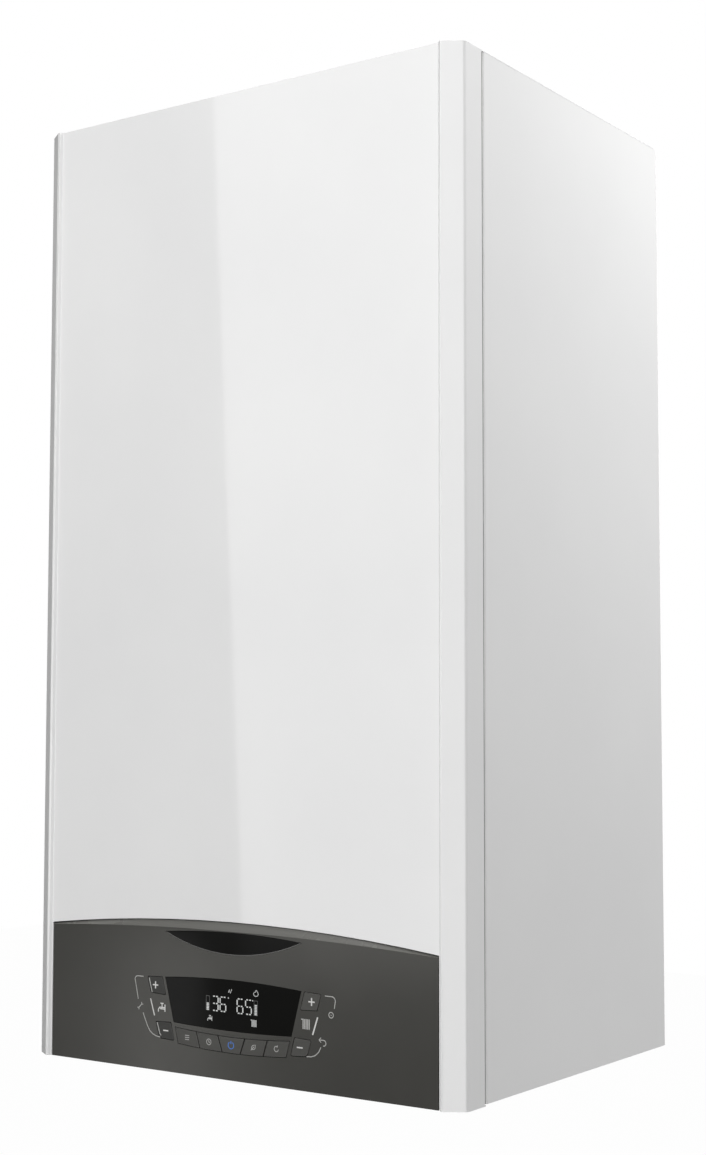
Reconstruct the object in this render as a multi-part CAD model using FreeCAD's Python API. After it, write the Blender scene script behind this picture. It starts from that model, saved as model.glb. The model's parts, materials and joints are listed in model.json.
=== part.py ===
"""Wall-hung condensing boiler as an assembly of separate pieces, in millimetres.

The frame has +Z up and the front facing -Y. The wall plane is y = 0, and z = 0 is the height of the
hanging slots. Heights named "level" below are measured upwards from the bottom edge of the casing.
"""
import FreeCAD
import Part
import math
import os

# Casing
CASE_WIDTH = 400.0
CASE_DEPTH = 319.0
CASE_HEIGHT = 745.0
SHEET = 1.0
FRAME_SHEET = 1.2
FIT = 0.3
FLANGE = 12.0
BEND = 0.8

# Hanging and fixing holes in the back frame
HANG_BELOW_TOP = 45.0
HANG_SPACING = 250.0
HANG_SLOT_RADIUS = 5.0
HANG_SLOT_LENGTH = 28.0
LOWER_FIX_SPACING = 340.0
LOWER_FIX_LEVEL = 60.0
LOWER_FIX_RADIUS = 4.0
FRAME_FOOT = 28.0
FRAME_FLANGE = 25.0
CHANNEL_WIDTH = 22.0
CHANNEL_DEPTH = 4.0
CHANNEL_CENTRES = (-165.0, 20.0, 150.0)
CHANNEL_FOOT = 110.0
CHANNEL_BELOW_TOP = 70.0

# Front cover
COVER_DEPTH = 34.0
COVER_DROP = 1.2
COVER_FLANGE = 8.0
SEAM_GAP = 1.2
FRONT_RECESS = 3.2
LIP_RUN = 2.3
CHAMFER_WIDTH = 15.7
CHAMFER_DEPTH = 10.6
CORNER_BEND = 3.0
OPENING_INSET = 0.6
ARCH_LEVEL = 114.4
ARCH_RADIUS = 1484.0
SEAL_WIDTH = 6.0
SEAL_INSET = 3.5
SEAL_CLEARANCE = 0.2

# Front crossbar
CROSSBAR_ABOVE_ARCH = 5.0
CROSSBAR_HEIGHT = 22.0
CROSSBAR_DEPTH = 24.0

# Control panel fascia
FASCIA_GAP = 0.8
FASCIA_SETBACK = 3.2
FASCIA_WALL = 2.5
FASCIA_DEPTH = 18.8
BEVEL_DEPTH = 1.8
BEVEL_MIDDLE = 6.0
BEVEL_END = 0.8
EMBLEM_HALF = 64.8
EMBLEM_BELOW_BEVEL = 0.9
EMBLEM_TIP_DROP = 3.1
EMBLEM_HEIGHT = 16.6
EMBLEM_THICKNESS = 1.2
EMBLEM_CLEARANCE = 0.1

# Display window and keys on the fascia
DISPLAY_HALF_HEAD = 64.3
DISPLAY_HALF_FOOT = 55.6
DISPLAY_HEAD = 69.4
DISPLAY_FOOT = 36.1
DISPLAY_CROWN = 2.7
DISPLAY_SAG = 1.5
WINDOW_CLEARANCE = 0.15
WINDOW_THICKNESS = 2.0
WINDOW_RECESS = 0.3
SIDE_KEY_GAP = 2.4
SIDE_KEY_WIDTH = 15.4
SIDE_KEY_HEIGHT = 13.8
SIDE_KEY_ROUND = 3.5
SIDE_KEY_TILT = 0.7
KEY_CORNER = 1.0
ROW_GAP = 3.0
ROW_HEAD = 30.5
ROW_FOOT = 18.4
ROW_RISE = 2.6
POWER_HALF_HEAD = 12.7
POWER_HALF_FOOT = 8.5
KEY_CLEARANCE = 0.4
KEY_THICKNESS = 3.2
KEY_PROUD = 0.2
KEY_STEM_RADIUS = 2.2
KEY_STEM_LENGTH = 3.8
KEY_TRAVEL = 1.0
SWITCH_RADIUS = 3.2
SWITCH_CLEARANCE = 0.3

# Display board and control box
BOARD = 1.6
DISPLAY_BOARD_SETBACK = 14.0
DISPLAY_BOARD_MARGIN = 8.0
POST_RADIUS = 3.5
BOX_WALL = 2.5
BOX_SIDE_GAP = 12.6
BOX_FOOT = 6.0
BOX_BELOW_ARCH = 21.8
BOX_SETBACK = 22.0
BOX_DEPTH = 56.0
BOX_LID = 3.0
BOX_RIB_COUNT = 9
BOX_RIB = 1.8
MAIN_BOARD_SETBACK = 34.0
MAIN_BOARD_MARGIN = 10.0
TRANSFORMER = 40.0
TRANSFORMER_HEIGHT = 19.0
RELAY_WIDTH = 19.0
RELAY_HEIGHT = 15.0
RELAY_PITCH = 26.0
RELAY_COUNT = 5
CONNECTOR_RISE = 13.0
CONNECTOR_HEIGHT = 11.5
CAPACITOR_RADIUS = 8.0
CAPACITOR_PITCH = 24.0
CAPACITOR_COUNT = 3
COMPONENT_MARGIN = 14.0

# Control panel hinge
HINGE_SETBACK = 31.0
HINGE_LEVEL = 13.0
HINGE_PIN_RADIUS = 4.0
HINGE_RUNNING = 0.05
HINGE_EAR_RADIUS = 8.0
HINGE_EAR_INSET = 2.5
HINGE_PLATE = 2.0
HINGE_PLATE_GAP = 1.5
HINGE_PIN_LENGTH = 10.0
HINGE_FOOT_DEPTH = 16.0

# Heat exchanger and burner
EXCHANGER_RADIUS = 100.0
EXCHANGER_WALL = 2.0
EXCHANGER_BELOW_TOP = 215.0
EXCHANGER_FROM_FRONT = 79.0
EXCHANGER_FROM_WALL = 82.0
EXCHANGER_FLANGE = 8.0
EXCHANGER_BEADS = 5
BEAD_HEIGHT = 4.0
BEAD_WIDTH = 8.0
PIPE_LANE = 44.0
STUB_RADIUS = 10.0
STUB_OFFSET = 60.0
FLOW_STUB_INSET = 40.0
RETURN_STUB_INSET = 38.0
STUB_REACH = 25.0
BRACKET_SHEET = 2.0
BRACKET_WIDTH = 64.0
BRACKET_HEIGHT = 130.0
BRACKET_SHIFT = 48.0
DOOR_THICKNESS = 12.0
DOOR_BOSS = 6.0
DOOR_RIB = 6.0
DOOR_RIB_HEIGHT = 4.2
DOOR_RIB_REACH = 90.0
DOOR_RIBS = 8
BURNER_RADIUS = 34.0
BURNER_LENGTH = 104.0
BURNER_WALL = 1.5
DUCT_RADIUS = 20.0
DUCT_WALL = 2.0
DUCT_FROM_FRONT = 35.0
DUCT_BEND = 20.0
DUCT_FLANGE = 7.0
DUCT_PLATE = 5.0
ELECTRODE_RADIUS = 5.0
ELECTRODE_TIP = 3.0
ELECTRODE_RISE = 5.0
ELECTRODE_OFFSET = 52.0
ELECTRODE_OUT = 22.0
ELECTRODE_IN = 60.0
ELECTRODE_WIRE = 1.5
ELECTRODE_PLATE = 3.0

# Fan, venturi, gas valve and silencer
FAN_RADIUS = 70.0
FAN_WIDTH = 50.0
FAN_WALL = 3.0
FAN_FROM_FRONT = 85.0
FAN_BELOW_SUMP = 6.0
FAN_OUTLET_RISE = 74.0
FAN_INLET_RADIUS = 28.0
FAN_MOTOR_RADIUS = 40.0
FAN_MOTOR_LENGTH = 48.0
FAN_SHAFT_RADIUS = 4.0
SHAFT_RUNNING = 0.05
FAN_WHEEL_CLEARANCE = 4.0
FAN_HUB = 8.0
FAN_HUB_FOOT = 16.0
FAN_BLADES = 20
FAN_BLADE = 1.5
FAN_BLADE_ANGLE = 20.0
FAN_MOTOR_GROOVES = 3
VENTURI_LENGTH = 58.0
VENTURI_RADIUS = 33.0
VENTURI_WAIST = 25.0
VENTURI_WAIST_LENGTH = 11.6
VENTURI_WALL = 4.0
GAS_NECK_RADIUS = 13.0
GAS_NECK_LENGTH = 14.0
GAS_VALVE_WIDTH = 58.0
GAS_VALVE_DEPTH = 68.0
GAS_VALVE_HEIGHT = 66.0
GAS_COIL_RADIUS = 15.0
GAS_COIL_LENGTH = 26.0
GAS_CAP_LENGTH = 8.6
GAS_VALVE_ROUND = 5.0
SILENCER_WIDTH = 58.0
SILENCER_DEPTH = 76.0
SILENCER_SHIFT = 4.0
SILENCER_RISE = 118.0
SILENCER_CLEARANCE = 2.0
SILENCER_ROUND = 12.0
SILENCER_WALL = 2.0
SILENCER_MOUTH = 26.0

# Spark generator and its lead
SPARK_WIDTH = 54.0
SPARK_DEPTH = 20.0
SPARK_HEIGHT = 44.0
SPARK_ROUND = 3.4
SPARK_X = 120.0
LEAD_RADIUS = 3.0
LEAD_BEND = 26.0
LEAD_END_BEND = 6.5

# Condensate sump, flue and condensate drain
SUMP_HALF = 74.0
SUMP_DEPTH_INSET = 12.0
SUMP_BELOW = 26.0
SUMP_SADDLE = 14.0
SUMP_ARM_HALF = 36.0
SUMP_ARM_HEIGHT = 24.0
FLUE_RADIUS = 30.0
FLUE_WALL = 2.0
FLUE_FROM_WALL = 130.0
FLUE_SIDE_GAP = 38.0
FLUE_BEND = 45.0
FLUE_TURN_BELOW_TOP = 138.0
FLUE_RISE = 75.0
FLUE_SOCKET_WALL = 3.0
FLUE_SOCKET_HEIGHT = 28.0
ADAPTOR_RADIUS = 50.0
ADAPTOR_WALL = 2.0
ADAPTOR_RISE = 30.0
ADAPTOR_FLANGE = 14.0
ADAPTOR_PLATE = 3.0
ADAPTOR_SKIRT = 32.0
ADAPTOR_STOP = 4.0
ADAPTOR_WEB = 3.0
ADAPTOR_WEB_COUNT = 4
ADAPTOR_WEB_TURN = 45.0
PORT_RADIUS = 40.0
PORT_HEIGHT = 1.5
PORT_X = 125.0
TRAP_RADIUS = 22.0
TRAP_HEIGHT = 112.0
TRAP_SIDE_GAP = 12.0
TRAP_FROM_WALL = 58.0
TRAP_CAP = 14.0
TRAP_CAP_RADIUS = 17.6
TRAP_OUTLET_RADIUS = 10.5
HOSE_RADIUS = 9.0
HOSE_WALL = 2.0
HOSE_BEND = 40.0
DRAIN_LENGTH = 16.0
DRAIN_INSET = 22.0

# Expansion vessel
VESSEL_HEIGHT = 380.0
VESSEL_DEPTH = 68.0
VESSEL_ROUND = 40.0
VESSEL_EDGE = 16.0
VESSEL_RIM = 5.0
VESSEL_RIM_THICKNESS = 4.0
VESSEL_LEFT_GAP = 16.0
VESSEL_RIGHT_GAP = 26.0
VESSEL_BELOW_TOP = 36.0
VESSEL_PIPE_RADIUS = 6.0
VESSEL_WALL = 1.5

# Connection rail and pipe stubs
RAIL_LEVEL = 18.0
RAIL_DEPTH = 150.0
RAIL_SIDE_GAP = 14.0
RAIL_LIP = 10.0
RAIL_RISE = 26.0
RAIL_HOLE = 1.2
CONNECTION_PITCH = 65.0
CONNECTION_FROM_WALL = 110.0
STUB_DROP = 22.0
LARGE_STUB = 13.22
SMALL_STUB = 10.48
STUB_WALL = 3.0
STUB_NECK = 0.8
NUT_HEIGHT = 10.0
NUT_WIDTH = 6.0
PIPE_RADIUS = 9.0
PIPE_WALL = 1.0
PIPE_BEND = 18.0
PIPE_SIDE_GAP = 7.0

# Flow side: block, diverter and plate heat exchanger
FLOW_BLOCK_RADIUS = 26.0
FLOW_BLOCK_LEVEL = 150.0
PLATE_HALF = 94.0
PLATE_HEIGHT = 74.0
PLATE_DEPTH = 62.0
PLATE_LEVEL = 70.0
PLATE_FROM_WALL = 30.0
PLATE_COUNT = 14
PLATE_GROOVE = 1.6
PLATE_GROOVE_DEPTH = 3.2
PLATE_WALL = 4.8
PORT_ARM_HEIGHT = 46.0
PORT_ARM_DEPTH = 40.0
DIVERTER_LEVEL = 95.0
DIVERTER_BORE = 9.0
DIVERTER_RUNNING = 0.05
DIVERTER_STEM = 4.0
DIVERTER_LENGTH = 32.0
DIVERTER_TRAVEL = 6.0
DIVERTER_END_GAP = 0.8
DIVERTER_WIDTH = 46.0
DIVERTER_HEIGHT = 54.0
DIVERTER_DEPTH = 50.0
DIVERTER_ROUND = 9.0
DIVERTER_CHAMFER = 3.0

# Return side: block, pump, safety valve and filling tap
RETURN_WIDTH = 76.0
RETURN_DEPTH = 76.0
RETURN_FOOT = 56.0
RETURN_HEAD = 190.0
RETURN_ROUND = 6.0
PUMP_LEVEL = 148.0
PUMP_RADIUS = 48.0
PUMP_SIDE_GAP = 19.0
PUMP_WALL = 5.0
PUMP_CHAMBER = 30.0
PUMP_MOTOR_RADIUS = 43.0
PUMP_MOTOR_LENGTH = 68.0
PUMP_MOTOR_STEP = 5.4
PUMP_SHAFT_RADIUS = 4.0
PUMP_WHEEL_CLEARANCE = 4.0
PUMP_VANES = 6
PUMP_VANE = 2.0
PUMP_VANE_ANGLE = 25.0
SAFETY_LEVEL = 76.0
SAFETY_RADIUS = 13.0
SAFETY_LENGTH = 28.0
SAFETY_STEM = 4.0
SAFETY_KNOB_RADIUS = 17.0
SAFETY_KNOB_LENGTH = 22.0
KNOB_GAP = 0.3
KNOB_FLUTES = 12
KNOB_FLUTE_RADIUS = 2.0
FILL_STEM = 5.0
FILL_BODY_RADIUS = 10.0
FILL_KNOB_RADIUS = 15.0
FILL_KNOB_HEIGHT = 20.0
FILL_FROM_WALL = 62.0
FILL_SIDE_GAP = 44.0
FILL_KNOB_DROP = 8.0

# Mains cable gland
GLAND_X = 32.0
GLAND_FROM_WALL = 135.0
GLAND_RADIUS = 11.0
GLAND_BORE = 4.2
GLAND_BELOW = 16.0
GLAND_ABOVE = 12.0
GLAND_NUT = 15.0
GLAND_NUT_HEIGHT = 5.0

# Planes and centres worked out from the sizes above
HALF = CASE_WIDTH / 2
FRONT = -CASE_DEPTH
TOP = HANG_BELOW_TOP
BOTTOM = TOP - CASE_HEIGHT
LIP_BASE = HALF - CHAMFER_WIDTH - LIP_RUN
OPENING_HALF = LIP_BASE - OPENING_INSET
FASCIA_HALF = OPENING_HALF - FASCIA_GAP
FASCIA_FACE = FRONT + FASCIA_SETBACK
PANEL_FRONT = FRONT + COVER_DEPTH + SEAM_GAP
SIDE_INNER = HALF - SHEET
RAIL_TOP = BOTTOM + RAIL_LEVEL + FRAME_SHEET
EXCHANGER_X = -(SIDE_INNER - PIPE_LANE - EXCHANGER_RADIUS)
EXCHANGER_Z = TOP - EXCHANGER_BELOW_TOP
EXCHANGER_FRONT = FRONT + EXCHANGER_FROM_FRONT
EXCHANGER_BACK = -EXCHANGER_FROM_WALL
EXCHANGER_LENGTH = EXCHANGER_BACK - EXCHANGER_FRONT
SHELL_REACH = EXCHANGER_RADIUS + BEAD_HEIGHT
DOOR_FRONT = EXCHANGER_FRONT - DOOR_THICKNESS - DOOR_BOSS
DUCT_Y = FRONT + DUCT_FROM_FRONT
SUMP_LOW = EXCHANGER_Z - EXCHANGER_RADIUS - SUMP_BELOW
FAN_Y = FRONT + FAN_FROM_FRONT
FAN_Z = SUMP_LOW - FAN_BELOW_SUMP - FAN_RADIUS
FAN_LEFT = EXCHANGER_X - FAN_WIDTH / 2
FAN_RIGHT = EXCHANGER_X + FAN_WIDTH / 2
FAN_OUTLET = FAN_Z + FAN_OUTLET_RISE
VENTURI_END = FAN_RIGHT + VENTURI_LENGTH
GAS_VALVE_X = (FAN_RIGHT + VENTURI_END) / 2
GAS_VALVE_TOP = FAN_Z - VENTURI_WAIST - GAS_NECK_LENGTH
FLUE_X = SIDE_INNER - FLUE_SIDE_GAP - SUMP_ARM_HALF
FLUE_Y = -FLUE_FROM_WALL
CONNECTION_Y = -CONNECTION_FROM_WALL
FLOW_X = -2 * CONNECTION_PITCH
HOT_X = -CONNECTION_PITCH
GAS_X = 0.0
COLD_X = CONNECTION_PITCH
RETURN_X = 2 * CONNECTION_PITCH
RETURN_LEFT = PLATE_HALF
RETURN_RIGHT = RETURN_LEFT + RETURN_WIDTH
RETURN_FRONT = CONNECTION_Y - LARGE_STUB - STUB_WALL
RETURN_BACK = RETURN_FRONT + RETURN_DEPTH
PUMP_X = SIDE_INNER - PUMP_SIDE_GAP - PUMP_RADIUS
BRACKET_X = EXCHANGER_X - BRACKET_SHIFT
VESSEL_LEFT = BRACKET_X + BRACKET_WIDTH / 2 + VESSEL_LEFT_GAP
VESSEL_WIDTH = SIDE_INNER - VESSEL_RIGHT_GAP - VESSEL_LEFT
PUMP_FACE = RETURN_FRONT - PUMP_CHAMBER
PIPE_X = -(SIDE_INNER - PIPE_SIDE_GAP - PIPE_RADIUS)
TRAP_X = -(SIDE_INNER - TRAP_SIDE_GAP - TRAP_RADIUS)
TRAP_Y = -TRAP_FROM_WALL
CROSSBAR_LEVEL = ARCH_LEVEL + CROSSBAR_ABOVE_ARCH
BOX_HALF = FASCIA_HALF - BOX_SIDE_GAP
BOX_FRONT = FRONT + BOX_SETBACK
BOX_BACK = BOX_FRONT + BOX_DEPTH

X_AXIS = FreeCAD.Vector(1, 0, 0)
Y_AXIS = FreeCAD.Vector(0, 1, 0)
Z_AXIS = FreeCAD.Vector(0, 0, 1)
CUT_SPARE = 5.0


def point(x, y, z):
    """Point or vector from three coordinates."""
    return FreeCAD.Vector(x, y, z)


def level(height):
    """Height above the casing's bottom edge as a z coordinate."""
    return BOTTOM + height


def box(x_range, y_range, z_range):
    """Box between two limits on each axis."""
    low = point(x_range[0], y_range[0], z_range[0])
    return Part.makeBox(x_range[1] - x_range[0], y_range[1] - y_range[0], z_range[1] - z_range[0], low)


def rod(start, axis, radius, length):
    """Cylinder from a start point along an axis."""
    return Part.makeCylinder(radius, length, start, axis)


def pipe_ring(start, axis, outer, inner, length):
    """Straight hollow cylinder."""
    return rod(start, axis, outer, length).cut(rod(start, axis, inner, length))


def hex_nut(start, axis, radius, length):
    """Hexagonal prism, the radius reaching to its corners."""
    side = Z_AXIS if abs(axis.z) < 0.5 else X_AXIS
    across = axis.cross(side)
    corners = []
    for turn in range(6):
        angle = math.radians(60 * turn)
        corners.append(start + side * (radius * math.cos(angle)) + across * (radius * math.sin(angle)))
    return Part.Face(Part.makePolygon(corners + corners[:1])).extrude(axis * length)


def turned(origin, axis, profile):
    """Solid of revolution from (radius, distance along the axis) points."""
    side = Z_AXIS if abs(axis.z) < 0.5 else X_AXIS
    corners = [origin + side * radius + axis * along for radius, along in profile]
    return Part.Face(Part.makePolygon(corners + corners[:1])).revolve(origin, axis, 360)


def corner_arc(before, corner, after, radius):
    """Start, middle and end of the arc that rounds a corner."""
    to_before = (before - corner).normalize()
    to_after = (after - corner).normalize()
    half_angle = to_before.getAngle(to_after) / 2
    reach = radius / math.tan(half_angle)
    bisector = (to_before + to_after).normalize()
    centre = corner + bisector * (radius / math.sin(half_angle))
    return corner + to_before * reach, centre - bisector * radius, corner + to_after * reach


def rounded_path(points, radii):
    """Edges along an open run of points, its inner corners rounded by the given radii."""
    edges = []
    start = points[0]
    for index, radius in enumerate(radii, start=1):
        entry, middle, leave = corner_arc(points[index - 1], points[index], points[index + 1], radius)
        edges.append(Part.LineSegment(start, entry).toShape())
        edges.append(Part.Arc(entry, middle, leave).toShape())
        start = leave
    edges.append(Part.LineSegment(start, points[-1]).toShape())
    return edges


def rounded_loop(points, radii):
    """Closed wire through the points, with a radius for each corner, or none where it is zero."""
    edges = []
    count = len(points)
    leaves = []
    entries = []
    for index in range(count):
        if radii[index] == 0:
            entries.append(points[index])
            leaves.append(points[index])
            continue
        arc = corner_arc(points[index - 1], points[index], points[(index + 1) % count], radii[index])
        entries.append(arc[0])
        leaves.append(arc[2])
        edges.append(Part.Arc(*arc).toShape())
    for index in range(count):
        edges.append(Part.LineSegment(leaves[index - 1], entries[index]).toShape())
    return Part.Wire(Part.__sortEdges__(edges))


def offset_left(points, distance):
    """The same run of plan points moved to its left by a distance."""
    moved = []
    for index, corner in enumerate(points):
        normals = []
        for start, end in ((index - 1, index), (index, index + 1)):
            if start >= 0 and end < len(points):
                along = (points[end] - points[start]).normalize()
                normals.append(point(-along.y, along.x, 0))
        total = normals[0] + normals[-1]
        moved.append(corner + total * (2 * distance / total.dot(total)))
    return moved


def bent_sheet(points, thickness, radii):
    """Plan section of a bent sheet lying to the left of the run of points."""
    face_radii = []
    back_radii = []
    for index, radius in enumerate(radii, start=1):
        arriving = points[index] - points[index - 1]
        leaving = points[index + 1] - points[index]
        turns_left = arriving.cross(leaving).z > 0
        face_radii.append(radius + thickness if turns_left else radius)
        back_radii.append(radius if turns_left else radius + thickness)
    back = offset_left(points, thickness)
    edges = rounded_path(points, face_radii) + rounded_path(back, back_radii)
    edges.append(Part.LineSegment(points[0], back[0]).toShape())
    edges.append(Part.LineSegment(points[-1], back[-1]).toShape())
    return Part.Face(Part.Wire(Part.__sortEdges__(edges)))


def tube(points, radius, bend, wall):
    """Round tube along straight runs joined by tangent arcs."""
    path = Part.Wire(rounded_path(points, [bend] * (len(points) - 2)))
    along = (points[1] - points[0]).normalize()
    skins = []
    for size in (radius, radius - wall):
        section = Part.Wire(Part.Circle(points[0], along, size).toShape())
        skins.append(path.makePipeShell([section], True, False))
    return skins[0].cut(skins[1])


def arch_drop(x, radius):
    """How far an arc of the given radius has fallen at a distance x from its crown."""
    return radius - math.sqrt(radius * radius - x * x)


def outline(start, steps, y):
    """Closed wire at depth y from (x, level) points; a step with four numbers is an arc and its end."""
    edges = []
    here = point(start[0], y, level(start[1]))
    first = here
    for step in list(steps) + [start]:
        end = point(step[-2], y, level(step[-1]))
        if len(step) == 4:
            middle = point(step[0], y, level(step[1]))
            edges.append(Part.Arc(here, middle, end).toShape())
        elif here.distanceToPoint(end) > 0:
            edges.append(Part.LineSegment(here, end).toShape())
        here = end
    if here.distanceToPoint(first) > 0:
        edges.append(Part.LineSegment(here, first).toShape())
    return Part.Wire(edges)


def slab(wire, depth):
    """Solid from a wire in an upright plane, its depth towards the wall."""
    return Part.Face(wire).extrude(point(0, depth, 0))


def edges_along(shape, axis):
    """Straight edges of a shape that run along an axis."""
    return [edge for edge in shape.Edges if abs(edge.tangentAt(edge.FirstParameter).dot(axis)) > 0.5]


def mirrored(shape):
    """The same shape on the other side of the middle plane."""
    return shape.mirror(point(0, 0, 0), X_AXIS)


def back_frame():
    """Galvanised pan with side and top flanges, pressed channels, slots and the exchanger's bracket."""
    half = SIDE_INNER - FIT
    foot = level(FRAME_FOOT)
    head = TOP - 2 * SHEET - FIT
    run = [point(half, -FRAME_FLANGE, foot), point(half, 0, foot)]
    run += [point(-half, 0, foot), point(-half, -FRAME_FLANGE, foot)]
    pan = bent_sheet(run, FRAME_SHEET, [BEND, BEND]).extrude(point(0, 0, head - foot))
    inner_half = half - FRAME_SHEET
    pan = pan.fuse(box((-inner_half, inner_half), (-FRAME_FLANGE, 0), (head - FRAME_SHEET, head)))
    for centre in CHANNEL_CENTRES:
        wide = CHANNEL_WIDTH / 2 + FRAME_SHEET
        low = level(CHANNEL_FOOT)
        high = TOP - CHANNEL_BELOW_TOP
        hump = box((centre - wide, centre + wide), (-FRAME_SHEET - CHANNEL_DEPTH, 0), (low, high))
        hollow = box((centre - CHANNEL_WIDTH / 2, centre + CHANNEL_WIDTH / 2), (-CHANNEL_DEPTH, CUT_SPARE),
                     (low + FRAME_SHEET, high - FRAME_SHEET))
        pan = pan.fuse(hump).cut(hollow)
    bracket = box((BRACKET_X - BRACKET_WIDTH / 2, BRACKET_X + BRACKET_WIDTH / 2),
                  (EXCHANGER_BACK, -FRAME_SHEET / 2),
                  (EXCHANGER_Z - BRACKET_HEIGHT / 2, EXCHANGER_Z + BRACKET_HEIGHT / 2))
    inside = BRACKET_WIDTH / 2 - BRACKET_SHEET
    room = box((BRACKET_X - inside, BRACKET_X + inside), (EXCHANGER_BACK + BRACKET_SHEET, -FRAME_SHEET),
               (EXCHANGER_Z - BRACKET_HEIGHT, EXCHANGER_Z + BRACKET_HEIGHT))
    pan = pan.fuse(bracket.cut(room))
    through = FRAME_SHEET + 2 * CUT_SPARE
    for side in (-1, 1):
        x = side * HANG_SPACING / 2
        straight = HANG_SLOT_LENGTH / 2 - HANG_SLOT_RADIUS
        slot = box((x - straight, x + straight), (-through, through), (-HANG_SLOT_RADIUS, HANG_SLOT_RADIUS))
        for end in (x - straight, x + straight):
            slot = slot.fuse(rod(point(end, -through, 0), Y_AXIS, HANG_SLOT_RADIUS, 2 * through))
        hole = rod(point(side * LOWER_FIX_SPACING / 2, -through, level(LOWER_FIX_LEVEL)), Y_AXIS,
                   LOWER_FIX_RADIUS, 2 * through)
        pan = pan.cut(slot).cut(hole)
    return pan.removeSplitter()


def right_side_panel():
    """Painted side sheet with a front flange and flanges at its top and bottom."""
    foot = BOTTOM
    head = TOP - SHEET
    run = [point(HALF - FLANGE, PANEL_FRONT, foot), point(HALF, PANEL_FRONT, foot), point(HALF, -FIT, foot)]
    panel = bent_sheet(run, SHEET, [BEND]).extrude(point(0, 0, head - foot))
    depth = (PANEL_FRONT + SHEET + BEND, -FRAME_FLANGE - FIT)
    for low in (foot, head - SHEET):
        panel = panel.fuse(box((HALF - FLANGE, HALF - SHEET / 2), depth, (low, low + SHEET)))
    return panel.removeSplitter()


def left_side_panel():
    """Side sheet on the other side."""
    return mirrored(right_side_panel())


def top_panel():
    """Painted top sheet with a front flange, the flue opening and two blanked air ports."""
    sheet = box((-HALF, HALF), (PANEL_FRONT, -FIT), (TOP - SHEET, TOP))
    flange_half = HALF - FLANGE - FIT
    flange_low = TOP - SHEET - FLANGE
    flange = box((-flange_half, flange_half), (PANEL_FRONT, PANEL_FRONT + SHEET), (flange_low, TOP))
    sheet = sheet.fuse(flange)
    for x in (-PORT_X, PORT_X):
        cover = turned(point(x, FLUE_Y, TOP), Z_AXIS,
                       [(0, -SHEET / 2), (PORT_RADIUS, -SHEET / 2), (PORT_RADIUS - PORT_HEIGHT, PORT_HEIGHT),
                        (0, PORT_HEIGHT)])
        sheet = sheet.fuse(cover)
    opening = rod(point(0, FLUE_Y, TOP - CUT_SPARE), Z_AXIS, ADAPTOR_RADIUS + FIT, 2 * CUT_SPARE)
    return sheet.cut(opening).removeSplitter()


def cover_run(depth):
    """Plan points along the front cover's outer face, from the left return to the right one."""
    right = [(LIP_BASE, FRONT + FRONT_RECESS), (HALF - CHAMFER_WIDTH, FRONT), (HALF, FRONT + CHAMFER_DEPTH)]
    right += depth
    left = [(-x, y) for x, y in reversed(right)]
    return [point(x, y, 0) for x, y in left + right]


def front_cover():
    """White front: recessed panel, raised lips, slanted corner strips, side returns and arched opening."""
    back = FRONT + COVER_DEPTH
    foot = BOTTOM - COVER_DROP
    bends = [BEND, CORNER_BEND, BEND, BEND, BEND, BEND, CORNER_BEND, BEND]
    run = cover_run([(HALF, back), (HALF - COVER_FLANGE, back)])
    section = bent_sheet(run, SHEET, bends)
    cover = section.extrude(point(0, 0, TOP - foot))
    cover.translate(point(0, 0, foot))
    lid_radii = [CORNER_BEND + SHEET, BEND + SHEET, BEND, BEND, BEND + SHEET, CORNER_BEND + SHEET]
    lid_edges = rounded_path(cover_run([(HALF, back)]), lid_radii)
    lid_edges.append(Part.LineSegment(point(HALF, back, 0), point(-HALF, back, 0)).toShape())
    lid = Part.Face(Part.Wire(Part.__sortEdges__(lid_edges)))
    for low in (TOP - SHEET, foot):
        plate = lid.extrude(point(0, 0, SHEET))
        plate.translate(point(0, 0, low))
        cover = cover.fuse(plate)
    return_half = HALF - COVER_FLANGE
    head_flange = box((-return_half, return_half), (back - SHEET, back), (TOP - COVER_FLANGE - SHEET, TOP))
    cover = cover.fuse(head_flange)
    end_level = ARCH_LEVEL - arch_drop(OPENING_HALF, ARCH_RADIUS)
    low_level = -COVER_DROP - CUT_SPARE
    wire = outline((-OPENING_HALF, low_level),
                   [(OPENING_HALF, low_level), (OPENING_HALF, end_level),
                    (0, ARCH_LEVEL, -OPENING_HALF, end_level)], FRONT - CUT_SPARE)
    return cover.cut(slab(wire, COVER_DEPTH + 2 * CUT_SPARE)).removeSplitter()


def cover_seal():
    """Foam strip on the front flanges that the cover closes against."""
    outer = HALF - SEAL_INSET
    inner = outer - SEAL_WIDTH
    head = TOP - SHEET - SEAL_INSET
    foot = level(CROSSBAR_LEVEL)
    y_range = (PANEL_FRONT - SEAM_GAP + SEAL_CLEARANCE, PANEL_FRONT)
    frame = box((-outer, outer), y_range, (foot, head))
    opening = box((-inner, inner), (y_range[0] - CUT_SPARE, CUT_SPARE), (foot - CUT_SPARE, head - SEAL_WIDTH))
    return frame.cut(opening)


def front_crossbar():
    """Channel between the side panels above the control panel."""
    half = SIDE_INNER - FIT
    low = level(CROSSBAR_LEVEL)
    near = PANEL_FRONT + SHEET + FIT
    bar = box((-half, half), (near, near + CROSSBAR_DEPTH), (low, low + CROSSBAR_HEIGHT))
    room = box((-HALF, HALF), (near + FRAME_SHEET, near + CROSSBAR_DEPTH + CUT_SPARE),
               (low + FRAME_SHEET, low + CROSSBAR_HEIGHT - FRAME_SHEET))
    return bar.cut(room)


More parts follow.
